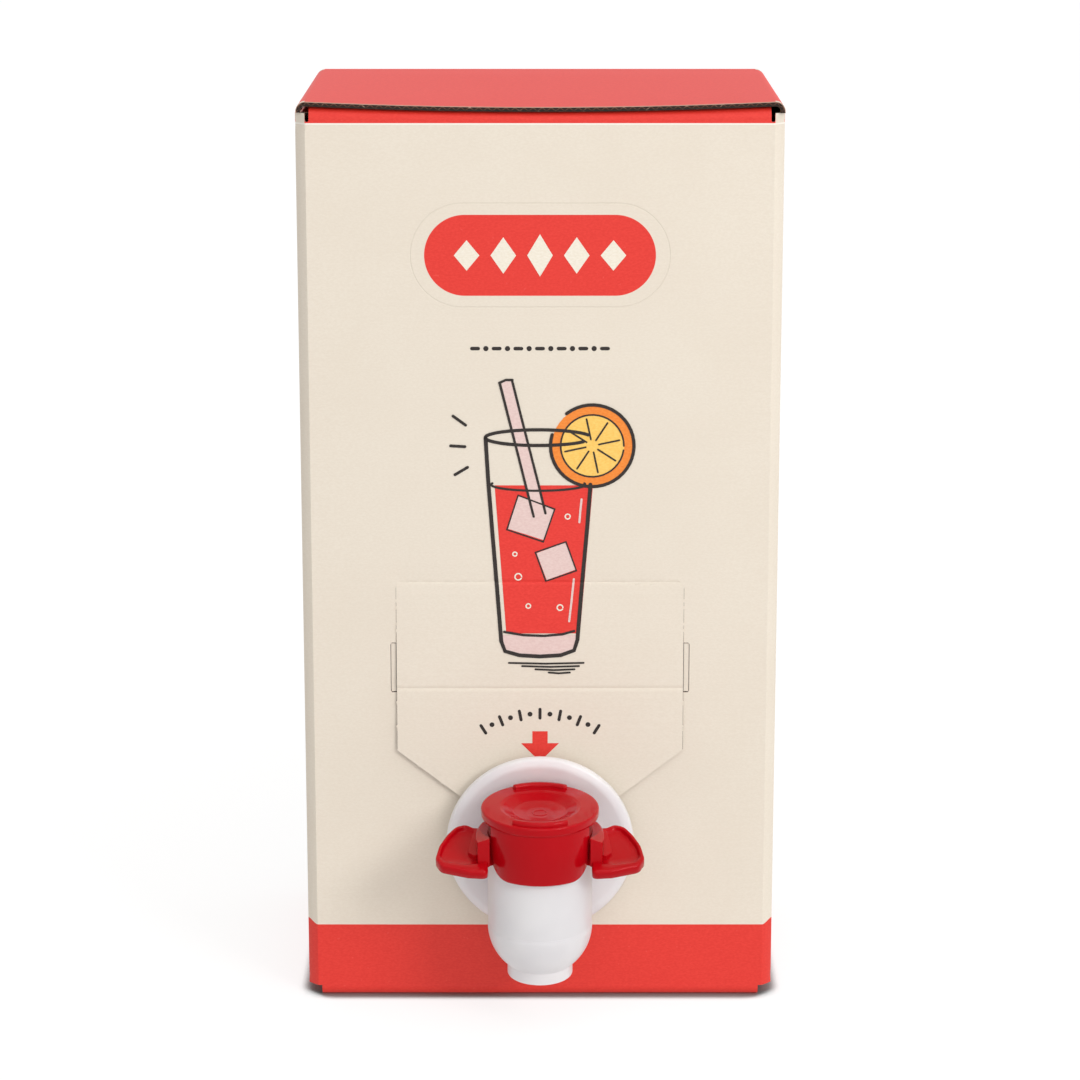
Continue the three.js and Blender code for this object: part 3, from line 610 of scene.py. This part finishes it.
notch, corner = -0.00024, 0.0014
side_top = (half_hatch, crown - corner)
right_side = nicked((neck, neck_base), (half_hatch, shoulder), (0.22, 0.5, 0.76), notch)
right_side += nicked((half_hatch, shoulder), side_top, (0.15, 0.3, 0.74, 0.88), notch)
right_side += arc(half_hatch - corner, crown - corner, corner, 0, 90, 5)
edge_of_hatch = arc(0, hole_centre, hole_radius, 155, 25, 22) + right_side
edge_of_hatch += [(-a, b) for a, b in right_side][::-1]
low_crease = [second_crease + d for d in (-0.001, -0.0006, -0.0003, 0, 0.0003, 0.0006, 0.001)]
hatch_rows = low_crease + crease_rows[:3]
hatch_board = board_from_sheet(*filled(edge_of_hatch, [], 0.0036, [], hatch_rows), hatch_sheet)


def strip_sheet(points, depth):
    """The punched strips, which still stand in the finger slots, pressed in a little."""
    x, height = points[:, 0], points[:, 1]
    return np.stack([x, front_face(x, height, False) + depth + 0.0002, height], 1)


strip = [(0.03464, 0.078), (0.03584, 0.078), (0.03584, 0.09), (0.03464, 0.09)]
pressed_strips = [
    board_from_sheet(*filled([(side * a, b) for a, b in strip][::side]), strip_sheet, 0.0008)
    for side in (-1, 1)
]
hatch = make_board("tear_hatch", [hatch_board, *pressed_strips])
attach(hatch, "carton")


# The print on the front. It is a plain drawing of a tall drink with a slice of fruit, an
# ornament in the badge, rows of small marks and an arrow to the tap, each a thin film of ink.
def ink_material(name, low, high):
    ink = Shader(name)
    fibre = ink.noise(2600, 4.0, (0.5, 0.5, 1.0))
    return ink.finish(
        Base_Color=ink.mix(ink.span(fibre, 0.3, 0.72), linear(*low), linear(*high)),
        Roughness=0.55,
        Specular_IOR_Level=0.35,
        Normal=ink.bump(fibre, 0.00006, 0.4),
    )


inks = {
    "black": ink_material("black_ink", (33, 26, 24), (44, 36, 32)),
    "red": ink_material("red_ink", (226, 52, 44), (234, 62, 52)),
    "orange": ink_material("orange_ink", (240, 130, 44), (247, 148, 60)),
    "yellow": ink_material("yellow_ink", (248, 196, 92), (252, 210, 116)),
    "pale": ink_material("pale_ink", (226, 196, 190), (234, 208, 202)),
    "cream": ink_material("cream_ink", (236, 226, 208), (244, 236, 222)),
}
films = {name: [] for name in inks}


def print_area(ink, loop, height, holes=(), spacing=0.003):
    """Fills a loop of millimetre points with ink, at a height over the board in millimetres."""
    metres = [np.array(one) / 1000 for one in (loop, *holes)]
    rows = crease_rows + [0.1052] + low_crease
    points, triangles = filled(metres[0], metres[1:], spacing, (), rows)
    y = front_face(points[:, 0], points[:, 1]) - height / 1000
    films[ink].append((np.stack([points[:, 0], y, points[:, 1]], 1), triangles))


def print_line(ink, points, width, height, closed=False):
    """Draws a line of ink through millimetre points, with round ends."""
    p = np.array(points, float)
    ahead = np.roll(p, -1, axis=0) - p if closed else np.gradient(p, axis=0)
    if closed:
        ahead = ahead + np.roll(ahead, 1, axis=0)
    ahead /= np.maximum(np.linalg.norm(ahead, axis=1, keepdims=True), 1e-9)
    across = np.stack([-ahead[:, 1], ahead[:, 0]], 1) * width / 2
    if closed:
        print_area(ink, p - across, height, [p + across])
        return
    ends = []
    for at, way in ((-1, -1), (0, 1)):
        spin = math.atan2(way * across[at][1], way * across[at][0])
        turns = spin + np.linspace(0, math.pi, 7)[1:-1]
        ends.append([p[at] + width / 2 * np.array([math.cos(t), math.sin(t)]) for t in turns])
    print_area(ink, [*(p - across), *ends[0], *(p + across)[::-1], *ends[1]], height)


# The tall glass: the drink, the ice, the slice on the rim, the straw and the ink outlines. Its
# points are millimetres over the foot of the glass.
foot = 87.0


def paint(ink, loop, height):
    print_area(ink, [(a, foot + b) for a, b in loop], height)


def draw(points, width, height, ink="black", closed=False):
    print_line(ink, [(a, foot + b) for a, b in points], width, height, closed)


paint("red", [(-8.1, 5.6), (9.6, 5.6), (12.6, 42.0), (-10.8, 42.0)], 0.05)
paint("pale", [(-8.2, 1.2), (-5.0, 0.3), (5.0, 0.3), (8.0, 1.4), (9.0, 5.2), (-9.4, 5.2)], 0.05)
paint("pale", [(-7.6, 31.4), (1.0, 28.6), (3.4, 36.4), (-5.2, 39.4)], 0.08)
paint("pale", [(1.6, 18.8), (8.6, 21.4), (6.0, 28.0), (-0.8, 25.4)], 0.08)
paint("orange", oval(12.4, 51.6, 9.6, 9.6)[:-1], 0.06)
paint("yellow", oval(12.4, 51.6, 7.6, 7.6)[:-1], 0.08)
paint("pale", [(-9.2, 67.0), (-6.8, 67.6), (1.4, 34.6), (-1.2, 34.0)], 0.1)
left_side = [(-12.9, 53.4), (-12.3, 43.0), (-11.4, 31.0), (-10.3, 17.0), (-9.3, 3.6), (-8.4, 1.2)]
right_side = [(8.2, 1.4), (9.0, 4.0), (10.0, 17.0), (11.2, 31.0), (12.0, 42.2)]
draw(left_side + [(-5.0, 0.2), (0.0, -0.1), (5.0, 0.2)] + right_side, 0.95, 0.13)
draw(oval(-0.4, 53.6, 12.6, 1.9, 20, 328, 36), 0.8, 0.13)
draw(oval(-0.4, 42.2, 11.2, 1.5, 168, 372, 24), 0.55, 0.13)
draw([(-8.6, 6.0), (-4.0, 5.2), (1.0, 5.0), (5.4, 5.4), (8.2, 6.2)], 0.6, 0.13)
draw(oval(12.4, 51.6, 9.9, 9.9, -196, 128, 40), 0.8, 0.15)
draw(oval(12.4, 51.6, 7.5, 7.5, 0, 352, 40), 0.4, 0.15)
for spoke in range(8):
    t = math.radians(spoke * 45 + 12)
    draw([(12.4 + r * math.cos(t), 51.6 + r * math.sin(t)) for r in (1.6, 4.0, 6.6)], 0.42, 0.15)
draw([(-9.5, 66.6), (-7.2, 57.4), (-4.9, 48.2), (-3.2, 41.2), (-1.5, 34.4)], 0.6, 0.15)
draw([(-6.6, 67.4), (-4.3, 58.0), (-2.0, 48.8), (-0.3, 42.0), (1.3, 35.2)], 0.6, 0.15)
draw([(-9.6, 66.8), (-8.1, 67.5), (-6.5, 67.5)], 0.6, 0.16)
draw([(-7.9, 31.2), (0.8, 28.2), (3.5, 36.2), (-5.2, 39.6)], 0.5, 0.14, closed=True)
draw([(1.4, 18.5), (8.7, 21.1), (6.2, 28.2), (-1.1, 25.6)], 0.5, 0.14, closed=True)
for cx, cz, r in (
    (-5.2, 19.6, 0.8),
    (-2.8, 12.4, 0.55),
    (4.8, 12.0, 0.7),
    (-6.0, 25.2, 0.5),
    (6.6, 34.4, 0.6),
):
    draw(oval(cx, cz, r, r, 0, 330, 14), 0.32, 0.12, "cream")
for a, b in (
    ((-17.6, 56.6), (-20.6, 58.8)),
    ((-17.8, 51.4), (-21.2, 51.6)),
    ((-17.2, 46.4), (-20.2, 44.6)),
):
    draw([a, ((a[0] + b[0]) / 2, (a[1] + b[1]) / 2), b], 0.7, 0.12)
for row in range(4):
    fall = 0.8 * row
    left, right = (-7.5 + 3.2 * row, -1.7 - fall), (10.5 - 1.1 * row, -1.7 - fall)
    draw([left, (1.5 + row, -1.9 - fall), right], 0.45, 0.12)
draw([(7.0, 8.6), (7.5, 13.0), (8.1, 19.0)], 0.5, 0.12, "pale")
draw([(9.4, 33.0), (9.6, 35.6), (9.9, 38.6)], 0.5, 0.12, "pale")

# In the badge, five lozenges between short rules; below it, a line of small marks. Round the
# top of the tap, a row of rays and dots, and an arrow.
badge_centre = 184.1
for i in range(-2, 3):
    tall = 5.0 - abs(i) * 0.7
    lozenge = [(-3.0, 0.0), (0.0, -tall), (3.0, 0.0), (0.0, tall)]
    print_area("cream", [(i * 8.6 + a, badge_centre + b) for a, b in lozenge], 0.05)
for i in range(-6, 7):
    if i % 2:
        print_area("black", oval(i * 2.55, 162.0, 0.62, 0.62, steps=14)[:-1], 0.05)
    else:
        print_line("black", [(i * 2.55 + a, 162.0) for a in (-0.75, 0.0, 0.75)], 0.85, 0.05)
for i in range(-6, 7):
    t = math.radians(i * 5.3)
    ray = [(r * math.sin(t), 46.6 + r * math.cos(t)) for r in (24.9, 26.0, 27.1)]
    if i % 2:
        print_area("black", oval(*ray[1], 0.6, 0.6, steps=14)[:-1], 0.05)
    else:
        print_line("black", ray, 0.75, 0.05)
arrow = [(-1.85, 68.2), (-1.85, 65.2), (-4.6, 65.2), (0, 60.6), (4.6, 65.2)]
print_area("red", arrow + [(1.85, 65.2), (1.85, 68.2)], 0.05)

for name, parts in films.items():
    film = added("print_" + name, joined("print_" + name, parts, [inks[name]]))
    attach(film, "carton")


# The tap body: a domed white collar, the barrel behind it, and an upright chamber that narrows
# to a short spout. The whole tap leans forward by 5 degrees in its gland.
def plastic(name, low, high, roughness, gloss, tint, depth, colour_depth):
    """A moulded plastic: slightly cloudy, softly lit from within, with faint flow marks."""
    made = Shader(name)
    cloud = made.noise(60, 2.0)
    grain = made.noise(1800, 3.0)
    wear = made.noise(240, 3.0, (1.0, 1.0, 0.3))
    return made.finish(
        Base_Color=made.mix(made.span(cloud, 0.3, 0.7), linear(*low), linear(*high)),
        Roughness=made.span(wear, 0.3, 0.7, roughness - 0.02, roughness + 0.03),
        Specular_IOR_Level=gloss,
        Specular_Tint=tint,
        Subsurface_Weight=depth,
        Subsurface_Radius=colour_depth,
        Subsurface_Scale=0.004,
        IOR=1.5,
        Normal=made.bump(grain, 0.000004, 0.4),
    )


white_plastic = plastic(
    "white_moulding", (225, 222, 224), (233, 230, 231), roughness=0.34, gloss=0.5,
    tint=(1, 1, 1, 1), depth=0.35, colour_depth=(1.0, 0.95, 0.92),
)
red_plastic = plastic(
    "red_moulding", (178, 5, 17), (186, 8, 22), roughness=0.14, gloss=0.18,
    tint=(1, 0.6, 0.6, 1), depth=0.05, colour_depth=(1.0, 0.12, 0.08),
)


def rounded(points, radii, steps=5):
    """The closed outline with each corner rounded by its own radius."""
    p = np.array(points, float)
    out = []
    for before, here, after, radius in zip(np.roll(p, 1, 0), p, np.roll(p, -1, 0), radii):
        a, b = before - here, after - here
        la, lb = np.linalg.norm(a), np.linalg.norm(b)
        cosine = float(np.clip(a @ b / (la * lb), -1, 1))
        if radius <= 0 or cosine < -0.999:
            out.append(here)
            continue
        half = math.acos(cosine) / 2
        back = min(radius / math.tan(half), 0.49 * la, 0.49 * lb)
        start, end = here + a / la * back, here + b / lb * back
        for i in range(steps + 1):
            t = i / steps
            out.append((1 - t) ** 2 * start + 2 * t * (1 - t) * here + t * t * end)
    return np.array(out)


def lathe(outline, sides, place, start=0.0, end=360.0):
    """Turns a closed outline of radius and height about an axis, between two angles."""
    whole = end - start >= 360
    n, m = len(outline), sides if whole else sides + 1
    angles = np.radians(start + (end - start) * np.arange(m) / sides)
    r, h = outline[:, 0][:, None], outline[:, 1][:, None]
    x, y = r * np.sin(angles)[None], -r * np.cos(angles)[None]
    points = np.stack([x, y, np.broadcast_to(h, x.shape)], -1).reshape(-1, 3)
    faces = []
    for i in range(n):
        k = (i + 1) % n
        for j in range(m if whole else m - 1):
            l = (j + 1) % m
            faces.append((i * m + j, i * m + l, k * m + l, k * m + j))
    if not whole:
        faces.append(tuple(i * m for i in range(n)))
        faces.append(tuple(i * m + m - 1 for i in reversed(range(n))))
    return place(points), faces


def leaned(points, degrees):
    """The points tipped forward about the axis that runs from side to side."""
    lean = math.radians(degrees)
    x, y, z = points.T
    forward = y * math.cos(lean) - z * math.sin(lean)
    up = y * math.sin(lean) + z * math.cos(lean)
    return np.stack([x, forward, up], 1)


def tap_place(points):
    """From the tap's own millimetres, with its origin at the gland, to the carton's metres."""
    return (leaned(points, 5) + (0, -39, 41)) / 1000


chamber_reach = 20.2


def chamber_place(points):
    """From millimetres about the upright chamber's axis."""
    return tap_place(points + np.array([0.0, -chamber_reach, 0.0]))


def barrel_place(points):
    """From a radius and a distance in front of the panel, about the level barrel's axis."""
    x, y, h = points.T
    return tap_place(np.stack([x, -h, -y], 1))


def make_moulding(name, parts, material, sharp=40, bevel=0.0):
    """One object from several closed pieces, its normals facing out."""
    mesh = joined(name, parts, [material])
    mesh.update()
    work = bmesh.new()
    work.from_mesh(mesh)
    bmesh.ops.remove_doubles(work, verts=work.verts, dist=1e-7)
    bmesh.ops.recalc_face_normals(work, faces=work.faces)
    work.to_mesh(mesh)
    work.free()
    mesh.shade_smooth()
    mesh.set_sharp_from_angle(angle=math.radians(sharp))
    piece = added(name, mesh)
    if bevel:
        soften = piece.modifiers.new("soft_edges", "BEVEL")
        soften.width = bevel
        soften.segments = 3
        soften.limit_method = "ANGLE"
        soften.angle_limit = math.radians(35)
    return piece


collar_back, collar_front = 3.125, 5.825
collar = rounded(
    [(6.6, -6.2), (10.6, -6.2), (10.6, collar_back - 0.2), (14.0, collar_back),
     (22.3, collar_back), (22.8, 3.7), (22.6, 5.1), (20.8, collar_front), (16.5, 5.2),
     (10.6, 4.6), (8.4, 6.2), (8.4, 10.2), (6.6, 10.2)],
    [0.2, 0.4, 0.3, 0.3, 0.3, 0.5, 1.6, 2.4, 3.0, 2.2, 1.6, 0, 0],
)


def chamber_shoulder(wide, narrow, top, base):
    """A quarter of an ellipse from the wide radius at the top, cut short at the narrow radius."""
    last = math.acos(narrow / wide)
    angle = np.linspace(0, last, 17)
    return np.stack([wide * np.cos(angle), top - (top - base) * np.sin(angle) / math.sin(last)], 1)


chamber = np.concatenate([
    rounded(
        [(10.9, -13.0), (10.9, 10.0), (12.4, 10.0), (12.4, -12.7), (12.5, -13.0)],
        [0, 0.2, 0.3, 0.1, 0.1],
    ),
    chamber_shoulder(12.5, 7.9, -13.4, -23.2),
    rounded(
        [(7.8, -23.5), (7.8, -26.4), (6.5, -26.4), (6.5, -20.6), (5.0, -20.6), (5.0, -19.2),
         (5.6, -19.2)],
        [0.1, 0.45, 0.3, 0.2, 0.2, 0.3, 0],
    ),
    chamber_shoulder(10.9, 6.5, -13.6, -19.0)[::-1],
])
tap_shell = make_moulding(
    "tap_moulding",
    [lathe(collar, 128, barrel_place), lathe(chamber, 112, chamber_place)],
    white_plastic,
)
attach(tap_shell, "tap")
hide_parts("tap_body")


# The finger wings: a red clip round the chamber's back, a cheek on each side, a post beside
# the apron and a flat wing with a raised border.
def tilted(points, side):
    """A wing's own millimetres, tilted down towards the front, to the chamber's."""
    return chamber_place(leaned(points, 13) * (side, 1, 1) + (0, 0, 7.3))


def wing_rings():
    """The wing as rings from the middle of its underside over its border into its recess. Each
    ring lies between the outline, the recess's outline and their middle."""
    outline = rounded(
        [(13.1, 4.6), (13.1, -7.8), (12.2, -9.4), (12.2, -12.7), (16.8, -12.2), (23.4, -10.0),
         (24.7, -7.2), (23.9, -2.2), (22.1, 2.2), (20.2, 5.3), (17.8, 6.2), (16.0, 4.9)],
        [0.3, 1.0, 0.8, 1.7, 2.5, 2.4, 2.6, 8.0, 8.0, 3.0, 1.6, 1.2],
        6,
    )
    recess = rounded(
        [(13.7, 3.8), (13.7, -6.4), (13.8, -7.4), (14.4, -8.6), (17.4, -9.2), (22.4, -8.1),
         (23.6, -6.2), (22.9, -2.2), (21.2, 1.8), (19.5, 4.5), (17.7, 5.2), (15.9, 4.0)],
        [0.3, 0.6, 0.6, 0.8, 1.2, 1.4, 1.8, 7.0, 7.0, 2.2, 1.2, 0.8],
        6,
    )
    centre = recess.mean(0)
    rings = []
    for inward, deep, height in (
        (0.0, 0.95, -1.6), (0.35, 0.0, -1.6), (0.1, 0.0, -1.5), (0.0, 0.0, -1.2), (0.0, 0.0, 0.45),
        (0.06, 0.0, 0.74), (0.2, 0.0, 0.9), (0.75, 0.0, 0.88), (0.92, 0.0, 0.72), (1.0, 0.02, 0.2),
        (1.0, 0.08, 0.02), (1.0, 0.4, 0.0), (1.0, 0.95, 0.0),
    ):
        ring = outline + (recess - outline) * inward
        ring = ring + (centre - ring) * deep
        rings.append(np.column_stack([ring, np.full(len(ring), height)]))
    return rings


def loft(rings, place):
    n = len(rings[0])
    faces = [tuple(reversed(range(n))), tuple(range((len(rings) - 1) * n, len(rings) * n))]
    for i in range(len(rings) - 1):
        for j in range(n):
            k = (j + 1) % n
            faces.append((i * n + j, i * n + k, (i + 1) * n + k, (i + 1) * n + j))
    return place(np.concatenate(rings)), faces


def stood(section, angle):
    """A section of radii and heights, at an angle round the chamber from its front."""
    t = math.radians(angle)
    return np.array([(r * math.sin(t), -r * math.cos(t), h) for r, h in section])


def clip():
    """A band round the chamber's back, from one post to the other, deep at its two cheeks."""
    inner, rings = 12.42, []
    for angle in np.linspace(59.2, 300.8, 97):
        off_cheek = min(max((abs(angle - 180) - 66) / -3, 0.0), 1.0)
        low, wide = 4.4 + 4.4 * off_cheek, 15.1 - 1.0 * off_cheek
        section = [(inner, low), (wide - 0.2, low), (wide, low + 0.2)]
        section += [(wide, 9.9), (wide - 0.4, 10.3), (inner, 10.3)]
        rings.append(stood(section, angle))
    return loft(rings, chamber_place)


def block(outline, low, high, side):
    """An upright block between two heights at each corner, on the left side or the right."""
    rings = [np.column_stack([outline, np.full(len(outline), h)]) for h in (low, high)]
    return loft([ring * (side, 1, 1) for ring in rings], chamber_place)


def post(side):
    """The upright beside the apron, hollowed to clear the rim, its top falling outward."""
    outline = np.array([
        (11.85, -8.9), (14.6, -8.9), (15.1, -6.5), (15.1, -2.0), (14.06, -2.0), (13.4, -4.7),
        (12.6, -6.55), (11.85, -7.9),
    ])
    return block(outline, 5.0, 12.2 - 0.35 * (outline[:, 0] - 11.85), side)


def step(side):
    """The low plateau between a post and the wing's recess, level with the tilted wing."""
    outline = np.array([
        (14.3, -6.6), (15.6, -6.6), (17.0, -4.6), (16.6, -0.5), (15.8, 3.4), (14.3, 3.4),
    ])
    top = 8.9 + 0.23 * outline[:, 1] - 0.35 * (outline[:, 0] - 14.3)
    return block(outline, top - 1.4, top, side)


inner_lip = np.array([(12.45, 4.5), (12.66, 4.5), (12.66, 10.2), (12.45, 10.2)])
grip_parts = [clip(), post(-1), post(1)]
for side, start in ((-1, 297), (1, 48)):
    grip_parts.append(lathe(inner_lip, 8, chamber_place, start, start + 15))
    grip_parts.append(step(side))
grip_frame = make_moulding("grip_clip", grip_parts, red_plastic, bevel=0.00028)
grip_wings = make_moulding(
    "grip_wings",
    [loft(wing_rings(), lambda p, s=side: tilted(p, s)) for side in (-1, 1)],
    red_plastic,
    sharp=60,
)
for piece in (grip_frame, grip_wings):
    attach(piece, "tap")
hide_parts("finger_wings")
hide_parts("finger_wings")

# The push button: a red disc with a dished middle, two low ridges for the thumb and an apron
# with rounded lower corners down the chamber's front.
button_disc = rounded(
    [(0.0, 14.5), (14.0, 14.5), (14.0, 16.8), (9.6, 16.8), (8.8, 16.6), (6.4, 15.55),
     (3.2, 15.1), (1.9, 15.04), (1.8, 15.14), (1.5, 15.14), (1.4, 15.02), (0.0, 15.0)],
    [0, 0.7, 0.6, 0.3, 0.5, 2.4, 0.6, 0.05, 0.05, 0.05, 0.05, 0],
    6,
)
button_boss = rounded([(0.0, 11.5), (3.4, 11.5), (3.4, 14.9), (0.0, 14.9)], [0, 0.3, 0, 0])


def ridge(middle):
    """A low rounded bar that follows the rim, its ends drawn in."""
    profile = [(-1, 0), (-1, 0.55), (-0.9, 0.82), (-0.6, 1.0)]
    profile += [(-a, b) for a, b in reversed(profile)]
    rings = []
    for i in range(41):
        t = -1 + 2 * i / 40
        size = math.sqrt(max(0.0, 1 - max(0.0, (abs(t) - 0.93) / 0.07) ** 2))
        half, tall = 0.78 * size, 1.25 * (0.3 + 0.7 * size)
        section = [(12.1 + half * a, 16.5 + tall * b) for a, b in profile]
        rings.append(stood(section, middle + 32 * t))
    return loft(rings, chamber_place)


def apron():
    """The curved plate, as columns whose lower ends follow two rounded corners."""
    inner, outer, half, corner = 12.75, 13.75, 57.6, 6.0
    rings = []
    for i in range(57):
        angle = -half + 2 * half * i / 56
        side = outer * math.radians(half - abs(angle))
        drop = corner - math.sqrt(max(0.0, corner**2 - max(0.0, corner - side) ** 2))
        low = 2.0 + drop * 0.98
        section = [(inner, low + 0.3), (12.95, low + 0.05), (13.3, low), (13.62, low + 0.12)]
        section += [(outer, low + 0.45), (outer, 14.2), (13.55, 14.9), (inner, 14.9)]
        rings.append(stood(section, angle))
    return loft(rings, chamber_place)


button = make_moulding(
    "button_moulding",
    [
        lathe(button_disc, 112, chamber_place),
        lathe(button_boss, 40, chamber_place),
        ridge(0),
        ridge(180),
        apron(),
    ],
    red_plastic,
    sharp=50,
)
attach(button, "button")
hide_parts("push_button")

# What lies inside: the silvery bag, the gland in the panel, the elastic dome under the button,
# and the valve's stem and seal keep their own solids, each with its own finish.
film = Shader("bag_film")
crinkle = film.noise(70, 5.0)
bag_material = film.finish(
    Base_Color=film.mix(crinkle, linear(204, 206, 208), linear(222, 223, 225)),
    Roughness=film.span(crinkle, 0.3, 0.7, 0.3, 0.5),
    Normal=film.bump(crinkle, 0.002, 0.8),
)
rubber = Shader("red_elastomer")
skin = rubber.noise(1400, 3.0)
dome_material = rubber.finish(
    Base_Color=rubber.mix(skin, linear(136, 6, 14), linear(150, 9, 18)),
    Roughness=0.5,
    Specular_IOR_Level=0.15,
    Specular_Tint=(1, 0.4, 0.4, 1),
    Normal=rubber.bump(skin, 0.00002, 0.3),
)
dome_outline = rounded(
    [(10.1, 10.02), (12.38, 10.02), (12.38, 10.9), (11.6, 11.2), (10.4, 13.6), (9.6, 14.4),
     (3.5, 14.4), (3.5, 13.6), (8.8, 13.6), (10.1, 10.9)],
    [0.1, 0.1, 0.3, 0.6, 0.8, 0.6, 0.1, 0.1, 0.8, 0.3],
)
dome = make_moulding("elastic_dome", [lathe(dome_outline, 72, chamber_place)], dome_material)
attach(dome, "tap")
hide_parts("return_dome")
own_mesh(dome)
seal = Shader("pale_elastomer")
bloom = seal.noise(900, 3.0)
seal_material = seal.finish(
    Base_Color=seal.mix(bloom, linear(222, 218, 210), linear(234, 231, 225)),
    Roughness=0.6,
    Normal=seal.bump(bloom, 0.00004, 0.4),
)
for node, material in (
    ("filled_bag", bag_material),
    ("spout_gland", white_plastic),
    ("valve_stem", white_plastic),
    ("valve_seal", seal_material),
):
    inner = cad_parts[node]
    if not inner.material_slots:
        inner.data.materials.append(None)
    for place in inner.material_slots:
        place.link = "OBJECT"
        place.material = material

# The stage: a plain pale floor with a soft shade where the carton touches it, a key light from
# the front right, broad fills from in front and behind, a wide sun and a white surround.
floor_mesh = bpy.data.meshes.new("floor")
floor_mesh.from_pydata([(-6, -6, 0), (6, -6, 0), (6, 6, 0), (-6, 6, 0)], [], [(0, 1, 2, 3)])
floor = added("floor", floor_mesh)
floor.location.z = -0.0001
ground = Shader("floor_paint")
haze = ground.noise(3, 2.0)
rays = ground.node("ShaderNodeLightPath").outputs
in_sight = ground.math("MAXIMUM", rays["Is Camera Ray"], rays["Is Glossy Ray"])
in_sight = ground.math("MAXIMUM", in_sight, rays["Is Transmission Ray"])
contact = ground.node("ShaderNodeAmbientOcclusion", samples=16)
contact.inputs["Distance"].default_value = 0.0055
glow = 0.48
open_air = ground.span(contact.outputs["AO"], 0.52, 0.85, -glow, 0.32)
seen_glow = ground.math("MULTIPLY", in_sight, open_air)
floor_mesh.materials.append(
    ground.finish(
        Base_Color=ground.mix(haze, (0.24, 0.24, 0.24, 1), (0.26, 0.26, 0.26, 1)),
        Roughness=0.9,
        Specular_IOR_Level=0.1,
        Emission_Color=(1, 1, 1, 1),
        Emission_Strength=ground.math("ADD", seen_glow, glow),
    )
)


def soft_light(name, place, aim, width, height, power):
    lamp = bpy.data.lights.new(name, "AREA")
    lamp.shape, lamp.size, lamp.size_y, lamp.energy = "RECTANGLE", width, height, power
    made = added(name, lamp)
    made.location = place
    made.rotation_euler = (Vector(aim) - Vector(place)).to_track_quat("-Z", "Y").to_euler()


soft_light("key", (0.85, -1.05, 0.75), (0, -0.04, 0.08), 0.5, 0.5, 7.4)
soft_light("front_fill", (0.0, -1.7, 0.4), (0, 0, 0.1), 1.4, 1.2, 5.6)
soft_light("back_fill", (-1.0, 1.3, 0.5), (0, 0, 0.1), 1.2, 1.2, 3.0)
sun = bpy.data.lights.new("overhead", "SUN")
sun.energy, sun.angle = 1.1, math.radians(70)
added("overhead", sun).rotation_euler = (math.radians(12), math.radians(14), 0)

world = bpy.data.worlds.new("surround")
world.use_nodes = True
tree = world.node_tree
tree.nodes.clear()
light_path = tree.nodes.new("ShaderNodeLightPath")
seen = light_path.outputs["Is Camera Ray"]
for ray in ("Is Glossy Ray", "Is Transmission Ray"):
    either = tree.nodes.new("ShaderNodeMath")
    either.operation = "MAXIMUM"
    tree.links.new(seen, either.inputs[0])
    tree.links.new(light_path.outputs[ray], either.inputs[1])
    seen = either.outputs[0]
blend = tree.nodes.new("ShaderNodeMixShader")
tree.links.new(seen, blend.inputs[0])
ambient, white = ((1.0, 0.985, 0.965, 1), 0.41), ((1, 1, 1, 1), 1.0)
for socket, (tone, strength) in ((1, ambient), (2, white)):
    light = tree.nodes.new("ShaderNodeBackground")
    light.inputs[0].default_value = tone
    light.inputs[1].default_value = strength
    tree.links.new(light.outputs[0], blend.inputs[socket])
out = tree.nodes.new("ShaderNodeOutputWorld")
tree.links.new(blend.outputs[0], out.inputs[0])
bpy.context.scene.world = world
bpy.context.scene.view_settings.view_transform = "Standard"

# The camera looks down by 13.5 degrees at the middle of the front, from 0.8 m.
focal_pixels, frame_pixels = 3375, 1080
lens = bpy.data.cameras.new("camera")
lens.sensor_width = 36
lens.lens = focal_pixels / frame_pixels * lens.sensor_width
lens.clip_start, lens.clip_end = 0.05, 30
camera = added("camera", lens)
target, away, pitch = Vector((0, -0.045, 0.117)), 0.8, math.radians(13.5)
camera.location = target + Vector((0, -math.cos(pitch), math.sin(pitch))) * away
camera.rotation_euler = (target - camera.location).to_track_quat("-Z", "Y").to_euler()
bpy.context.scene.camera = camera
